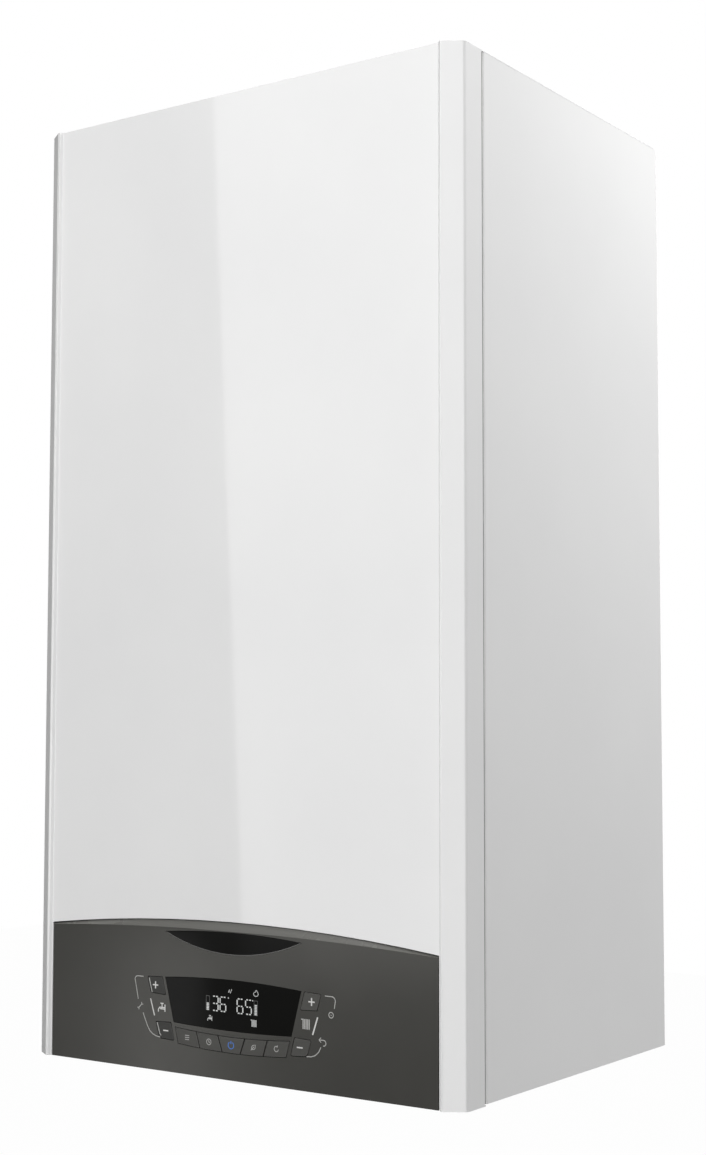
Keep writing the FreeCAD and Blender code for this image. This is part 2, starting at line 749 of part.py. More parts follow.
def rail_holes():
    """Places and radii of the holes in the connection rail."""
    holes = []
    for x, radius in ((FLOW_X, LARGE_STUB), (HOT_X, SMALL_STUB), (GAS_X, LARGE_STUB), (COLD_X, SMALL_STUB),
                      (RETURN_X, LARGE_STUB)):
        holes.append((x, CONNECTION_Y, radius + RAIL_HOLE))
    holes.append((TRAP_X, TRAP_Y, TRAP_OUTLET_RADIUS + RAIL_HOLE))
    holes.append((filling_x(), -FILL_FROM_WALL, FILL_BODY_RADIUS + RAIL_HOLE))
    holes.append((GLAND_X, -GLAND_FROM_WALL, GLAND_RADIUS + FIT))
    return holes


def filling_x():
    """Middle of the filling tap, near the right side panel."""
    return SIDE_INNER - FILL_SIDE_GAP


def connection_rail():
    """Bracket along the foot of the back frame that carries the pipe ends."""
    half = SIDE_INNER - RAIL_SIDE_GAP
    low = level(RAIL_LEVEL)
    rail = box((-half, half), (-RAIL_DEPTH, -FRAME_SHEET), (low, RAIL_TOP))
    rail = rail.fuse(box((-half, half), (-RAIL_DEPTH, -RAIL_DEPTH + FRAME_SHEET), (low - RAIL_LIP, RAIL_TOP)))
    rail = rail.fuse(box((-half, half), (-2 * FRAME_SHEET, -FRAME_SHEET), (low, RAIL_TOP + RAIL_RISE)))
    for x, y, radius in rail_holes():
        rail = rail.cut(rod(point(x, y, low - CUT_SPARE), Z_AXIS, radius, 3 * CUT_SPARE))
    return rail.removeSplitter()


def hinge_ear_end():
    """Outer face of the control box's hinge ears."""
    return FASCIA_HALF - HINGE_EAR_INSET + FASCIA_WALL


def hinge_bracket():
    """Right bracket on the side panel with the pin that the control box turns on."""
    y = FRONT + HINGE_SETBACK
    z = level(HINGE_LEVEL)
    inner = hinge_ear_end() + HINGE_PLATE_GAP
    foot_y = PANEL_FRONT + SHEET + FIT
    reach = HINGE_EAR_RADIUS
    plate = box((inner, inner + HINGE_PLATE), (y, foot_y + HINGE_FOOT_DEPTH), (z - reach, z + reach))
    plate = plate.fuse(rod(point(inner, y, z), X_AXIS, reach, HINGE_PLATE))
    side = SIDE_INNER - FIT
    plate = plate.fuse(box((inner, side), (foot_y, foot_y + HINGE_PLATE), (z - reach, z + reach)))
    foot_range = (foot_y, foot_y + HINGE_FOOT_DEPTH)
    plate = plate.fuse(box((side - HINGE_PLATE, side), foot_range, (z - reach, z + reach)))
    pin = rod(point(inner - HINGE_PLATE_GAP - HINGE_PIN_LENGTH, y, z), X_AXIS, HINGE_PIN_RADIUS,
              HINGE_PIN_LENGTH + HINGE_PLATE_GAP)
    return plate.fuse(pin).removeSplitter()


def hinge_brackets():
    """Both hinge brackets."""
    return Part.makeCompound([hinge_bracket(), mirrored(hinge_bracket())])


def cable_gland():
    """Bored gland in the rail with its lock nut."""
    x, y = GLAND_X, -GLAND_FROM_WALL
    low = RAIL_TOP - FRAME_SHEET - GLAND_BELOW
    body = rod(point(x, y, low), Z_AXIS, GLAND_RADIUS, GLAND_BELOW + FRAME_SHEET + GLAND_ABOVE)
    body = body.fuse(hex_nut(point(x, y, RAIL_TOP), Z_AXIS, GLAND_NUT, GLAND_NUT_HEIGHT))
    body = body.fuse(hex_nut(point(x, y, low), Z_AXIS, GLAND_NUT, GLAND_BELOW - GLAND_NUT_HEIGHT))
    return body.cut(rod(point(x, y, low - CUT_SPARE), Z_AXIS, GLAND_BORE, 2 * GLAND_BELOW + 3 * GLAND_ABOVE))


def arch_at(x):
    """Level of the fascia's arched top edge at x."""
    return ARCH_LEVEL - FASCIA_GAP - arch_drop(x, ARCH_RADIUS)


def bevel_foot(x):
    """Level of the bevel's lower edge at x."""
    middle = arch_at(0) - BEVEL_MIDDLE
    end = arch_at(FASCIA_HALF) - BEVEL_END
    return middle + (end - middle) * (x / FASCIA_HALF) ** 2


def display_half(height):
    """Half the display window's width at a level."""
    slope = (DISPLAY_HALF_HEAD - DISPLAY_HALF_FOOT) / (DISPLAY_HEAD - DISPLAY_FOOT)
    return DISPLAY_HALF_FOOT + slope * (height - DISPLAY_FOOT)


def display_wire(grow, y):
    """Outline of the display window, grown by a clearance."""
    head, foot = DISPLAY_HEAD + grow, DISPLAY_FOOT - grow
    wide, narrow = DISPLAY_HALF_HEAD + grow, DISPLAY_HALF_FOOT + grow
    return outline((-narrow, foot), [(0, foot - DISPLAY_SAG, narrow, foot), (wide, head),
                                     (0, head + DISPLAY_CROWN, -wide, head)], y)


def emblem_wire(y):
    """Outline of the bare crescent plate under the bevel."""
    head = bevel_foot(0) - EMBLEM_BELOW_BEVEL
    tip = head - EMBLEM_TIP_DROP
    foot = head - EMBLEM_HEIGHT
    return outline((-EMBLEM_HALF, tip), [(0, foot, EMBLEM_HALF, tip), (0, head, -EMBLEM_HALF, tip)], y)


def side_key_wire(upper, grow, y):
    """Outline of the right plus key (upper) or minus key (lower)."""
    foot = DISPLAY_HEAD - SIDE_KEY_HEIGHT if upper else DISPLAY_FOOT - SIDE_KEY_HEIGHT
    head = foot + SIDE_KEY_HEIGHT
    inner = SIDE_KEY_GAP - grow
    outer = SIDE_KEY_GAP + SIDE_KEY_WIDTH + grow
    foot_half = display_half(foot)
    head_half = display_half(head)
    corners = [(foot_half + inner, foot - grow), (foot_half + outer, foot - grow + SIDE_KEY_TILT),
               (head_half + outer, head + grow - SIDE_KEY_TILT), (head_half + inner, head + grow)]
    points = [point(x, y, level(height)) for x, height in corners]
    outer_low = KEY_CORNER if upper else SIDE_KEY_ROUND
    return rounded_loop(points, [KEY_CORNER, outer_low, KEY_CORNER, KEY_CORNER])


def row_edges():
    """Edges of the five row keys, as (x at the head, x at the foot), from left to right."""
    head_half = display_half(ROW_HEAD + ROW_RISE) + SIDE_KEY_GAP - ROW_GAP
    foot_half = display_half(ROW_FOOT + ROW_RISE) + SIDE_KEY_GAP - ROW_GAP
    right = [(POWER_HALF_HEAD, POWER_HALF_FOOT)]
    right.append(((POWER_HALF_HEAD + head_half) / 2, (POWER_HALF_FOOT + foot_half) / 2))
    right.append((head_half, foot_half))
    left = [(-head, -foot) for head, foot in reversed(right)]
    return left + right


def row_level(base, x):
    """Level on the row's curved upper or lower edge at x."""
    span = row_edges()[-1][0]
    return base + ROW_RISE * (x / span) ** 2


def row_wire(left, right, grow, y):
    """Outline of the row between two of its edges, grown by a clearance."""
    head_left, foot_left = left[0] - grow, left[1] - grow
    head_right, foot_right = right[0] + grow, right[1] + grow
    head_middle = (head_left + head_right) / 2
    foot_middle = (foot_left + foot_right) / 2
    return outline((foot_left, row_level(ROW_FOOT, foot_left) - grow),
                   [(foot_middle, row_level(ROW_FOOT, foot_middle) - grow,
                     foot_right, row_level(ROW_FOOT, foot_right) - grow),
                    (head_right, row_level(ROW_HEAD, head_right) + grow),
                    (head_middle, row_level(ROW_HEAD, head_middle) + grow,
                     head_left, row_level(ROW_HEAD, head_left) + grow)], y)


def key_places():
    """Key outlines by name: a function of the growth and the depth, and whether it is on the left."""
    places = {}
    for name, upper in (("plus_key", True), ("minus_key", False)):
        places["heating_" + name] = (lambda grow, y, upper=upper: side_key_wire(upper, grow, y), False)
        places["water_" + name] = (lambda grow, y, upper=upper: side_key_wire(upper, grow, y), True)
    names = ("menu_key", "clock_key", "power_key", "eco_key", "reset_key")
    edges = row_edges()
    for index, name in enumerate(names):
        left, right = edges[index], edges[index + 1]
        places[name] = (lambda grow, y, left=left, right=right: row_wire(left, right, grow, y), False)
    return places


def key_solid(name, grow, y, depth):
    """Block with the outline of a key."""
    wire, on_left = key_places()[name]
    solid = slab(wire(grow, y), depth)
    return mirrored(solid) if on_left else solid


def key_cap(name):
    """One push key: its cap and the stem that reaches towards its switch."""
    front = FASCIA_FACE - KEY_PROUD
    cap = key_solid(name, -KEY_CLEARANCE, front, KEY_THICKNESS)
    centre = cap.CenterOfMass
    stem = rod(point(centre.x, front + KEY_THICKNESS / 2, centre.z), Y_AXIS, KEY_STEM_RADIUS,
               KEY_THICKNESS / 2 + KEY_STEM_LENGTH)
    return cap.fuse(stem).removeSplitter()


def board_corners():
    """Half width, foot and head of the display board."""
    half = display_half(DISPLAY_HEAD) + SIDE_KEY_GAP + SIDE_KEY_WIDTH + DISPLAY_BOARD_MARGIN
    return half, ROW_FOOT - DISPLAY_BOARD_MARGIN, DISPLAY_HEAD + DISPLAY_BOARD_MARGIN


def board_posts():
    """Places of the four posts that hold the display board."""
    half, foot, head = board_corners()
    x = half - POST_RADIUS
    return [(side, z) for side in (-x, x) for z in (foot + POST_RADIUS, head - POST_RADIUS)]


def box_posts():
    """Places of the four posts between the fascia and the control box."""
    head = box_head() - 2 * POST_RADIUS
    foot = BOX_FOOT + 2 * POST_RADIUS
    x = BOX_HALF - 2 * POST_RADIUS
    return [(side, z) for side in (-x, x) for z in (foot, head)]


def box_head():
    """Level of the control box's top."""
    return ARCH_LEVEL - arch_drop(OPENING_HALF, ARCH_RADIUS) - BOX_BELOW_ARCH


def panel_fascia():
    """Moulded dark panel with an arched bevel, openings for the window and keys, and its mounting posts."""
    half = FASCIA_HALF
    end = arch_at(half)
    foot = -COVER_DROP
    face = outline((-half, foot), [(half, foot), (half, end), (0, arch_at(0), -half, end)], FASCIA_FACE)
    block = slab(face, FASCIA_DEPTH)
    above = ARCH_LEVEL + CUT_SPARE
    wires = []
    for y, middle, side in ((FASCIA_FACE, bevel_foot(0), bevel_foot(half)),
                            (FASCIA_FACE + BEVEL_DEPTH, arch_at(0), end)):
        wires.append(outline((-half, side), [(0, middle, half, side), (half, above), (-half, above)], y))
    block = block.cut(Part.makeLoft(wires, True, True))
    inner = half - FASCIA_WALL
    low = FASCIA_WALL - COVER_DROP
    room_end = bevel_foot(half) - FASCIA_WALL
    room_head = bevel_foot(0) - FASCIA_WALL
    room = outline((-inner, low), [(inner, low), (inner, room_end), (0, room_head, -inner, room_end)],
                   FASCIA_FACE + FASCIA_WALL)
    block = block.cut(slab(room, FASCIA_DEPTH))
    back = FASCIA_FACE + FASCIA_WALL / 2
    for x, z in board_posts():
        length = FRONT + DISPLAY_BOARD_SETBACK - back
        block = block.fuse(rod(point(x, back, level(z)), Y_AXIS, POST_RADIUS, length))
    for x, z in box_posts():
        block = block.fuse(rod(point(x, back, level(z)), Y_AXIS, POST_RADIUS, BOX_FRONT - back))
    start = FASCIA_FACE - CUT_SPARE
    through = FASCIA_WALL + 2 * CUT_SPARE
    cuts = [slab(display_wire(0, start), through)]
    cuts.append(slab(emblem_wire(start), CUT_SPARE + EMBLEM_THICKNESS))
    edges = row_edges()
    cuts.append(slab(row_wire(edges[0], edges[-1], 0, start), through))
    for name in ("heating_plus_key", "heating_minus_key", "water_plus_key", "water_minus_key"):
        cuts.append(key_solid(name, 0, start, through))
    return block.cut(cuts).removeSplitter()


def emblem_plate():
    """Bare glossy crescent set into the fascia."""
    # A join of 2 keeps the crescent's tips sharp.
    edge = emblem_wire(FASCIA_FACE).makeOffset2D(-EMBLEM_CLEARANCE, join=2)
    return slab(edge, EMBLEM_THICKNESS)


def display_window():
    """Dark glossy window of the display."""
    return slab(display_wire(-WINDOW_CLEARANCE, FASCIA_FACE + WINDOW_RECESS), WINDOW_THICKNESS)


def display_board():
    """Board behind the fascia with the display module and one switch for each key."""
    half, foot, head = board_corners()
    front = FRONT + DISPLAY_BOARD_SETBACK
    pieces = [box((-half, half), (front, front + BOARD), (level(foot), level(head)))]
    module_front = FASCIA_FACE + WINDOW_RECESS + WINDOW_THICKNESS + FIT
    narrow = display_half(DISPLAY_FOOT) - POST_RADIUS
    pieces.append(box((-narrow, narrow), (module_front, front), (level(DISPLAY_FOOT), level(DISPLAY_HEAD))))
    stem_end = FASCIA_FACE - KEY_PROUD + KEY_THICKNESS + KEY_STEM_LENGTH
    switch_front = stem_end + KEY_TRAVEL + SWITCH_CLEARANCE
    for name in key_places():
        centre = key_solid(name, -KEY_CLEARANCE, FASCIA_FACE, KEY_THICKNESS).CenterOfMass
        start = point(centre.x, switch_front, centre.z)
        pieces.append(rod(start, Y_AXIS, SWITCH_RADIUS, front - switch_front))
    return Part.makeCompound(pieces)


def control_box():
    """Box behind the fascia, open at the back, with board posts inside and hinge ears at its foot."""
    x_range = (-BOX_HALF, BOX_HALF)
    z_range = (level(BOX_FOOT), level(box_head()))
    shell = box(x_range, (BOX_FRONT, BOX_BACK), z_range)
    inner = BOX_HALF - BOX_WALL
    shell = shell.cut(box((-inner, inner), (BOX_FRONT + BOX_WALL, BOX_BACK + CUT_SPARE),
                          (z_range[0] + BOX_WALL, z_range[1] - BOX_WALL)))
    for x, z in main_board_posts():
        shell = shell.fuse(rod(point(x, BOX_FRONT + BOX_WALL / 2, z), Y_AXIS, POST_RADIUS,
                               MAIN_BOARD_SETBACK - BOX_WALL / 2))
    y = FRONT + HINGE_SETBACK
    z = level(HINGE_LEVEL)
    for side in (-1, 1):
        start = point(side * (BOX_HALF - BOX_WALL), y, z)
        length = hinge_ear_end() - BOX_HALF + BOX_WALL
        shell = shell.fuse(rod(start, X_AXIS * side, HINGE_EAR_RADIUS, length))
        bore_start = point(side * (hinge_ear_end() - HINGE_PIN_LENGTH - FIT), y, z)
        bore = rod(bore_start, X_AXIS * side, HINGE_PIN_RADIUS + HINGE_RUNNING, 2 * HINGE_PIN_LENGTH)
        shell = shell.cut(bore)
    return shell.removeSplitter()


def control_box_cover():
    """Ribbed lid on the back of the control box."""
    z_range = (level(BOX_FOOT), level(box_head()))
    lid = box((-BOX_HALF, BOX_HALF), (BOX_BACK, BOX_BACK + BOX_LID), z_range)
    inner = BOX_HALF - BOX_WALL - FIT
    lip = box((-inner, inner), (BOX_BACK - BOX_LID, BOX_BACK),
              (z_range[0] + BOX_WALL + FIT, z_range[1] - BOX_WALL - FIT))
    lip = lip.cut(box((-inner + BOX_RIB, inner - BOX_RIB), (BOX_BACK - 2 * BOX_LID, BOX_BACK),
                      (z_range[0] + BOX_WALL + FIT + BOX_RIB, z_range[1] - BOX_WALL - FIT - BOX_RIB)))
    lid = lid.fuse(lip)
    step = 2 * BOX_HALF / (BOX_RIB_COUNT + 1)
    groove_depth = (BOX_BACK + BOX_LID - BOX_RIB / 2, BOX_BACK + 2 * BOX_LID)
    groove_rise = (z_range[0] + MAIN_BOARD_MARGIN, z_range[1] - MAIN_BOARD_MARGIN)
    for number in range(1, BOX_RIB_COUNT + 1):
        x = -BOX_HALF + number * step
        lid = lid.cut(box((x - BOX_RIB, x + BOX_RIB), groove_depth, groove_rise))
    return lid.removeSplitter()


def main_board_range():
    """Limits of the main board across and upwards."""
    half = BOX_HALF - BOX_WALL - MAIN_BOARD_MARGIN / 2
    return (-half, half), (level(BOX_FOOT + MAIN_BOARD_MARGIN), level(box_head() - MAIN_BOARD_MARGIN))


def main_board_posts():
    """Places of the four posts under the main board."""
    x_range, z_range = main_board_range()
    return [(x, z) for x in (x_range[0] + POST_RADIUS, x_range[1] - POST_RADIUS)
            for z in (z_range[0] + POST_RADIUS, z_range[1] - POST_RADIUS)]


def main_board():
    """Control electronics: board, transformer, relays, capacitors and a row of connectors."""
    x_range, z_range = main_board_range()
    front = BOX_FRONT + MAIN_BOARD_SETBACK
    pieces = [box(x_range, (front, front + BOARD), z_range)]
    middle = (z_range[0] + z_range[1]) / 2
    left = x_range[0] + COMPONENT_MARGIN
    pieces.append(box((left, left + TRANSFORMER), (front - TRANSFORMER_HEIGHT, front),
                      (middle - TRANSFORMER / 2, middle + TRANSFORMER / 2)))
    foot = z_range[0] + POST_RADIUS
    for number in range(RELAY_COUNT):
        x = left + RELAY_PITCH - RELAY_WIDTH + TRANSFORMER + number * RELAY_PITCH
        across = (x, x + RELAY_WIDTH)
        pieces.append(box(across, (front - RELAY_HEIGHT, front), (middle, middle + RELAY_WIDTH)))
        pieces.append(box(across, (front - CONNECTOR_HEIGHT, front), (foot, foot + CONNECTOR_RISE)))
    for number in range(CAPACITOR_COUNT):
        x = x_range[1] - COMPONENT_MARGIN - CAPACITOR_RADIUS - number * CAPACITOR_PITCH
        base = point(x, front, middle)
        pieces.append(rod(base, -Y_AXIS, CAPACITOR_RADIUS, TRANSFORMER_HEIGHT))
    return Part.makeCompound(pieces)


def heat_exchanger_shell():
    """Beaded stainless can, open at the front, with its flange and two pipe stubs."""
    outer, wall, length = EXCHANGER_RADIUS, EXCHANGER_WALL, EXCHANGER_LENGTH
    flange = outer + EXCHANGER_FLANGE
    profile = [(outer - wall, 0), (flange, 0), (flange, 2 * wall), (outer, 2 * wall)]
    pitch = (length - 2 * EXCHANGER_FLANGE) / EXCHANGER_BEADS
    for number in range(EXCHANGER_BEADS):
        start = EXCHANGER_FLANGE + number * pitch + (pitch - 2 * BEAD_WIDTH) / 2
        end = start + 2 * BEAD_WIDTH
        crest = outer + BEAD_HEIGHT
        profile += [(outer, start), (crest, start + BEAD_HEIGHT), (crest, end - BEAD_HEIGHT), (outer, end)]
    profile += [(outer, length - EXCHANGER_FLANGE), (outer - EXCHANGER_FLANGE, length), (0, length)]
    profile += [(0, length - wall), (outer - EXCHANGER_FLANGE, length - wall),
                (outer - wall, length - EXCHANGER_FLANGE)]
    shell = turned(point(EXCHANGER_X, EXCHANGER_FRONT, EXCHANGER_Z), Y_AXIS, profile)
    chord = math.sqrt(outer * outer - STUB_OFFSET * STUB_OFFSET)
    for y, z in stub_places():
        root = EXCHANGER_X - chord + STUB_RADIUS
        shell = shell.fuse(rod(point(root, y, z), -X_AXIS, STUB_RADIUS, root - stub_end()))
    return shell.removeSplitter()


def stub_end():
    """Outer end of the exchanger's pipe stubs."""
    chord = math.sqrt(EXCHANGER_RADIUS * EXCHANGER_RADIUS - STUB_OFFSET * STUB_OFFSET)
    return EXCHANGER_X - chord - STUB_REACH


def stub_places():
    """Depth and height of the flow stub and the return stub."""
    return [(EXCHANGER_FRONT + FLOW_STUB_INSET, EXCHANGER_Z + STUB_OFFSET),
            (EXCHANGER_BACK - RETURN_STUB_INSET, EXCHANGER_Z - STUB_OFFSET)]


def electrode_places():
    """Places of the ignition and flame electrodes on the door."""
    z = EXCHANGER_Z + ELECTRODE_RISE
    return [(EXCHANGER_X + ELECTRODE_OFFSET, z), (EXCHANGER_X - ELECTRODE_OFFSET, z)]


def burner_door():
    """Cast door with radial ribs round the mixture inlet."""
    flange = EXCHANGER_RADIUS + EXCHANGER_FLANGE
    start = point(EXCHANGER_X, EXCHANGER_FRONT, EXCHANGER_Z)
    inlet = DUCT_RADIUS - DUCT_WALL
    boss = DUCT_RADIUS + DUCT_FLANGE
    door = turned(start, -Y_AXIS, [(inlet, 0), (flange, 0), (flange, DOOR_THICKNESS / 2),
                                   (flange - DOOR_THICKNESS, DOOR_THICKNESS),
                                   (boss, DOOR_THICKNESS), (boss, DOOR_THICKNESS + DOOR_BOSS),
                                   (inlet, DOOR_THICKNESS + DOOR_BOSS)])
    for number in range(DOOR_RIBS):
        rib = box((boss - DOOR_RIB / 2, DOOR_RIB_REACH),
                  (-DOOR_THICKNESS - DOOR_RIB_HEIGHT, -DOOR_THICKNESS / 2), (-DOOR_RIB / 2, DOOR_RIB / 2))
        rib.rotate(point(0, 0, 0), Y_AXIS, 360 * (number + 0.5) / DOOR_RIBS)
        rib.translate(start)
        door = door.fuse(rib)
    for x, z in electrode_places():
        door = door.cut(rod(point(x, DOOR_FRONT - CUT_SPARE, z), Y_AXIS, ELECTRODE_RADIUS + FIT,
                            DOOR_THICKNESS + DOOR_BOSS + 2 * CUT_SPARE))
    return door.removeSplitter()


def burner_tube():
    """Closed burner cylinder behind the door."""
    start = point(EXCHANGER_X, EXCHANGER_FRONT, EXCHANGER_Z)
    inside = BURNER_RADIUS - BURNER_WALL
    return turned(start, Y_AXIS, [(inside, 0), (BURNER_RADIUS, 0), (BURNER_RADIUS, BURNER_LENGTH),
                                  (0, BURNER_LENGTH), (0, BURNER_LENGTH - BURNER_WALL),
                                  (inside, BURNER_LENGTH - BURNER_WALL)])


def electrodes():
    """Ignition and flame electrodes: insulator with a collar on the door, and the wire inside."""
    face = EXCHANGER_FRONT - DOOR_THICKNESS
    collar = 2 * ELECTRODE_RADIUS
    pieces = []
    for x, z in electrode_places():
        start = point(x, face - ELECTRODE_OUT, z)
        length = ELECTRODE_OUT + DOOR_THICKNESS + ELECTRODE_IN
        body = [(0, 0), (ELECTRODE_TIP, 0), (ELECTRODE_TIP, ELECTRODE_OUT / 2),
                (ELECTRODE_RADIUS, ELECTRODE_OUT / 2), (ELECTRODE_RADIUS, ELECTRODE_OUT - ELECTRODE_PLATE),
                (collar, ELECTRODE_OUT - ELECTRODE_PLATE), (collar, ELECTRODE_OUT),
                (ELECTRODE_RADIUS, ELECTRODE_OUT), (ELECTRODE_RADIUS, ELECTRODE_OUT + DOOR_THICKNESS),
                (ELECTRODE_WIRE, ELECTRODE_OUT + DOOR_THICKNESS), (ELECTRODE_WIRE, length), (0, length)]
        pieces.append(turned(start, Y_AXIS, body))
    return Part.makeCompound(pieces)


def spark_place():
    """Lowest corner of the spark generator, on the crossbar."""
    depth_spare = (CROSSBAR_DEPTH - SPARK_DEPTH) / 2
    return point(SPARK_X - SPARK_WIDTH / 2, PANEL_FRONT + SHEET + FIT + depth_spare,
                 level(CROSSBAR_LEVEL) + CROSSBAR_HEIGHT)


def spark_generator():
    """Ignition transformer standing on the crossbar."""
    corner = spark_place()
    block = Part.makeBox(SPARK_WIDTH, SPARK_DEPTH, SPARK_HEIGHT, corner)
    block = block.makeFillet(SPARK_ROUND, edges_along(block, Z_AXIS))
    neck = rod(corner + point(SPARK_WIDTH / 2, SPARK_DEPTH / 2, SPARK_HEIGHT - BEND), Z_AXIS,
               2 * LEAD_RADIUS, BEND + 2 * LEAD_RADIUS)
    return block.fuse(neck).removeSplitter()


def ignition_lead():
    """Lead from the spark generator to the ignition electrode."""
    start = spark_place() + point(SPARK_WIDTH / 2, SPARK_DEPTH / 2, SPARK_HEIGHT + 2 * LEAD_RADIUS)
    x, z = electrode_places()[0]
    end = point(x, EXCHANGER_FRONT - DOOR_THICKNESS - ELECTRODE_OUT, z)
    turn_y = end.y - LEAD_BEND
    route = [start, point(start.x, start.y, z - 2 * LEAD_BEND), point(x, turn_y, z - LEAD_BEND / 2),
             point(x, turn_y, z), end]
    radii = [LEAD_BEND, LEAD_END_BEND, LEAD_END_BEND]
    path = Part.Wire(rounded_path(route, radii))
    section = Part.Wire(Part.Circle(start, Z_AXIS, LEAD_RADIUS).toShape())
    return path.makePipeShell([section], True, False)


def fan_outlet_half():
    """Half the inside width of the fan's outlet."""
    return DUCT_RADIUS - DUCT_WALL


def fan_housing():
    """Scroll housing with a tangential outlet at the front and an inlet on its right side."""
    start = point(FAN_LEFT, FAN_Y, FAN_Z)
    scroll = rod(start, X_AXIS, FAN_RADIUS, FAN_WIDTH)
    outlet_half = fan_outlet_half() + FAN_WALL
    neck = box((FAN_LEFT, FAN_RIGHT), (DUCT_Y - outlet_half, DUCT_Y + outlet_half), (FAN_Z, FAN_OUTLET))
    flange_half = DUCT_RADIUS + DUCT_FLANGE
    flange = box((EXCHANGER_X - flange_half, EXCHANGER_X + flange_half),
                 (DUCT_Y - outlet_half, DUCT_Y + flange_half), (FAN_OUTLET - DUCT_PLATE, FAN_OUTLET))
    body = scroll.fuse([neck, flange])
    chamber = rod(point(FAN_LEFT + FAN_WALL, FAN_Y, FAN_Z), X_AXIS, FAN_RADIUS - FAN_WALL,
                  FAN_WIDTH - 2 * FAN_WALL)
    throat = rod(point(EXCHANGER_X, DUCT_Y, FAN_Z), Z_AXIS, fan_outlet_half(), FAN_OUTLET_RISE + CUT_SPARE)
    inlet = rod(point(FAN_RIGHT - 2 * FAN_WALL, FAN_Y, FAN_Z), X_AXIS, FAN_INLET_RADIUS, 3 * FAN_WALL)
    shaft_hole = rod(point(FAN_LEFT - FAN_WALL, FAN_Y, FAN_Z), X_AXIS, 2 * FAN_SHAFT_RADIUS, 3 * FAN_WALL)
    return body.cut([chamber, throat, inlet, shaft_hole]).removeSplitter()


def fan_motor():
    """Finned motor on the left of the fan with its shaft."""
    start = point(FAN_LEFT, FAN_Y, FAN_Z)
    reach = FAN_WIDTH - 2 * FAN_WALL - FAN_WHEEL_CLEARANCE
    profile = [(0, reach), (FAN_SHAFT_RADIUS, reach), (FAN_SHAFT_RADIUS, 0), (FAN_MOTOR_RADIUS, 0)]
    groove = FAN_MOTOR_LENGTH / (2 * FAN_MOTOR_GROOVES + 2)
    for number in range(FAN_MOTOR_GROOVES):
        along = -groove * (2 * number + 1)
        profile += [(FAN_MOTOR_RADIUS, along), (FAN_MOTOR_RADIUS - FAN_WALL, along),
                    (FAN_MOTOR_RADIUS - FAN_WALL, along - groove), (FAN_MOTOR_RADIUS, along - groove)]
    end = -FAN_MOTOR_LENGTH
    profile += [(FAN_MOTOR_RADIUS, end + groove), (FAN_MOTOR_RADIUS - groove, end), (0, end)]
    return turned(start, X_AXIS, profile)


def fan_impeller():
    """Bladed wheel on the motor shaft."""
    start = point(FAN_LEFT + FAN_WALL + FAN_WHEEL_CLEARANCE / 2, FAN_Y, FAN_Z)
    radius = FAN_RADIUS - FAN_WALL - FAN_WHEEL_CLEARANCE
    width = FAN_WIDTH - 2 * FAN_WALL - FAN_WHEEL_CLEARANCE
    bore = FAN_SHAFT_RADIUS + SHAFT_RUNNING
    wheel = turned(start, X_AXIS, [(bore, 0), (radius, 0), (radius, FAN_BLADE), (FAN_HUB_FOOT, FAN_BLADE),
                                   (FAN_HUB, width / 2), (bore, width / 2)])
    shroud = turned(start, X_AXIS, [(FAN_INLET_RADIUS, width - FAN_BLADE), (radius, width - 2 * FAN_BLADE),
                                    (radius, width - FAN_BLADE), (FAN_INLET_RADIUS, width)])
    blades = []
    for number in range(FAN_BLADES):
        blade = box((FAN_BLADE / 2, width - 1.5 * FAN_BLADE), (-FAN_BLADE / 2, FAN_BLADE / 2),
                    (FAN_INLET_RADIUS, radius - FAN_BLADE))
        blade.rotate(point(0, 0, FAN_INLET_RADIUS), X_AXIS, FAN_BLADE_ANGLE)
        blade.rotate(point(0, 0, 0), X_AXIS, 360 * number / FAN_BLADES)
        blade.translate(start)
        blades.append(blade)
    return wheel.fuse(blades + [shroud]).removeSplitter()


def mixture_duct():
    """Elbow from the fan's outlet to the burner door."""
    start = point(EXCHANGER_X, DUCT_Y, FAN_OUTLET)
    route = [start, point(EXCHANGER_X, DUCT_Y, EXCHANGER_Z), point(EXCHANGER_X, DOOR_FRONT, EXCHANGER_Z)]
    duct = tube(route, DUCT_RADIUS, DUCT_BEND, DUCT_WALL)
    half = DUCT_RADIUS + DUCT_FLANGE
    front = DUCT_Y - fan_outlet_half() - FAN_WALL
    plate = box((EXCHANGER_X - half, EXCHANGER_X + half), (front, DUCT_Y + half),
                (FAN_OUTLET, FAN_OUTLET + DUCT_PLATE))
    plate = plate.cut(rod(start - Z_AXIS * CUT_SPARE, Z_AXIS, DUCT_RADIUS - DUCT_WALL / 2, 3 * CUT_SPARE))
    ring = pipe_ring(point(EXCHANGER_X, DOOR_FRONT - DUCT_PLATE / 2, EXCHANGER_Z), Y_AXIS, half,
                     DUCT_RADIUS - DUCT_WALL / 2, DUCT_PLATE / 2)
    return duct.fuse([plate, ring]).removeSplitter()


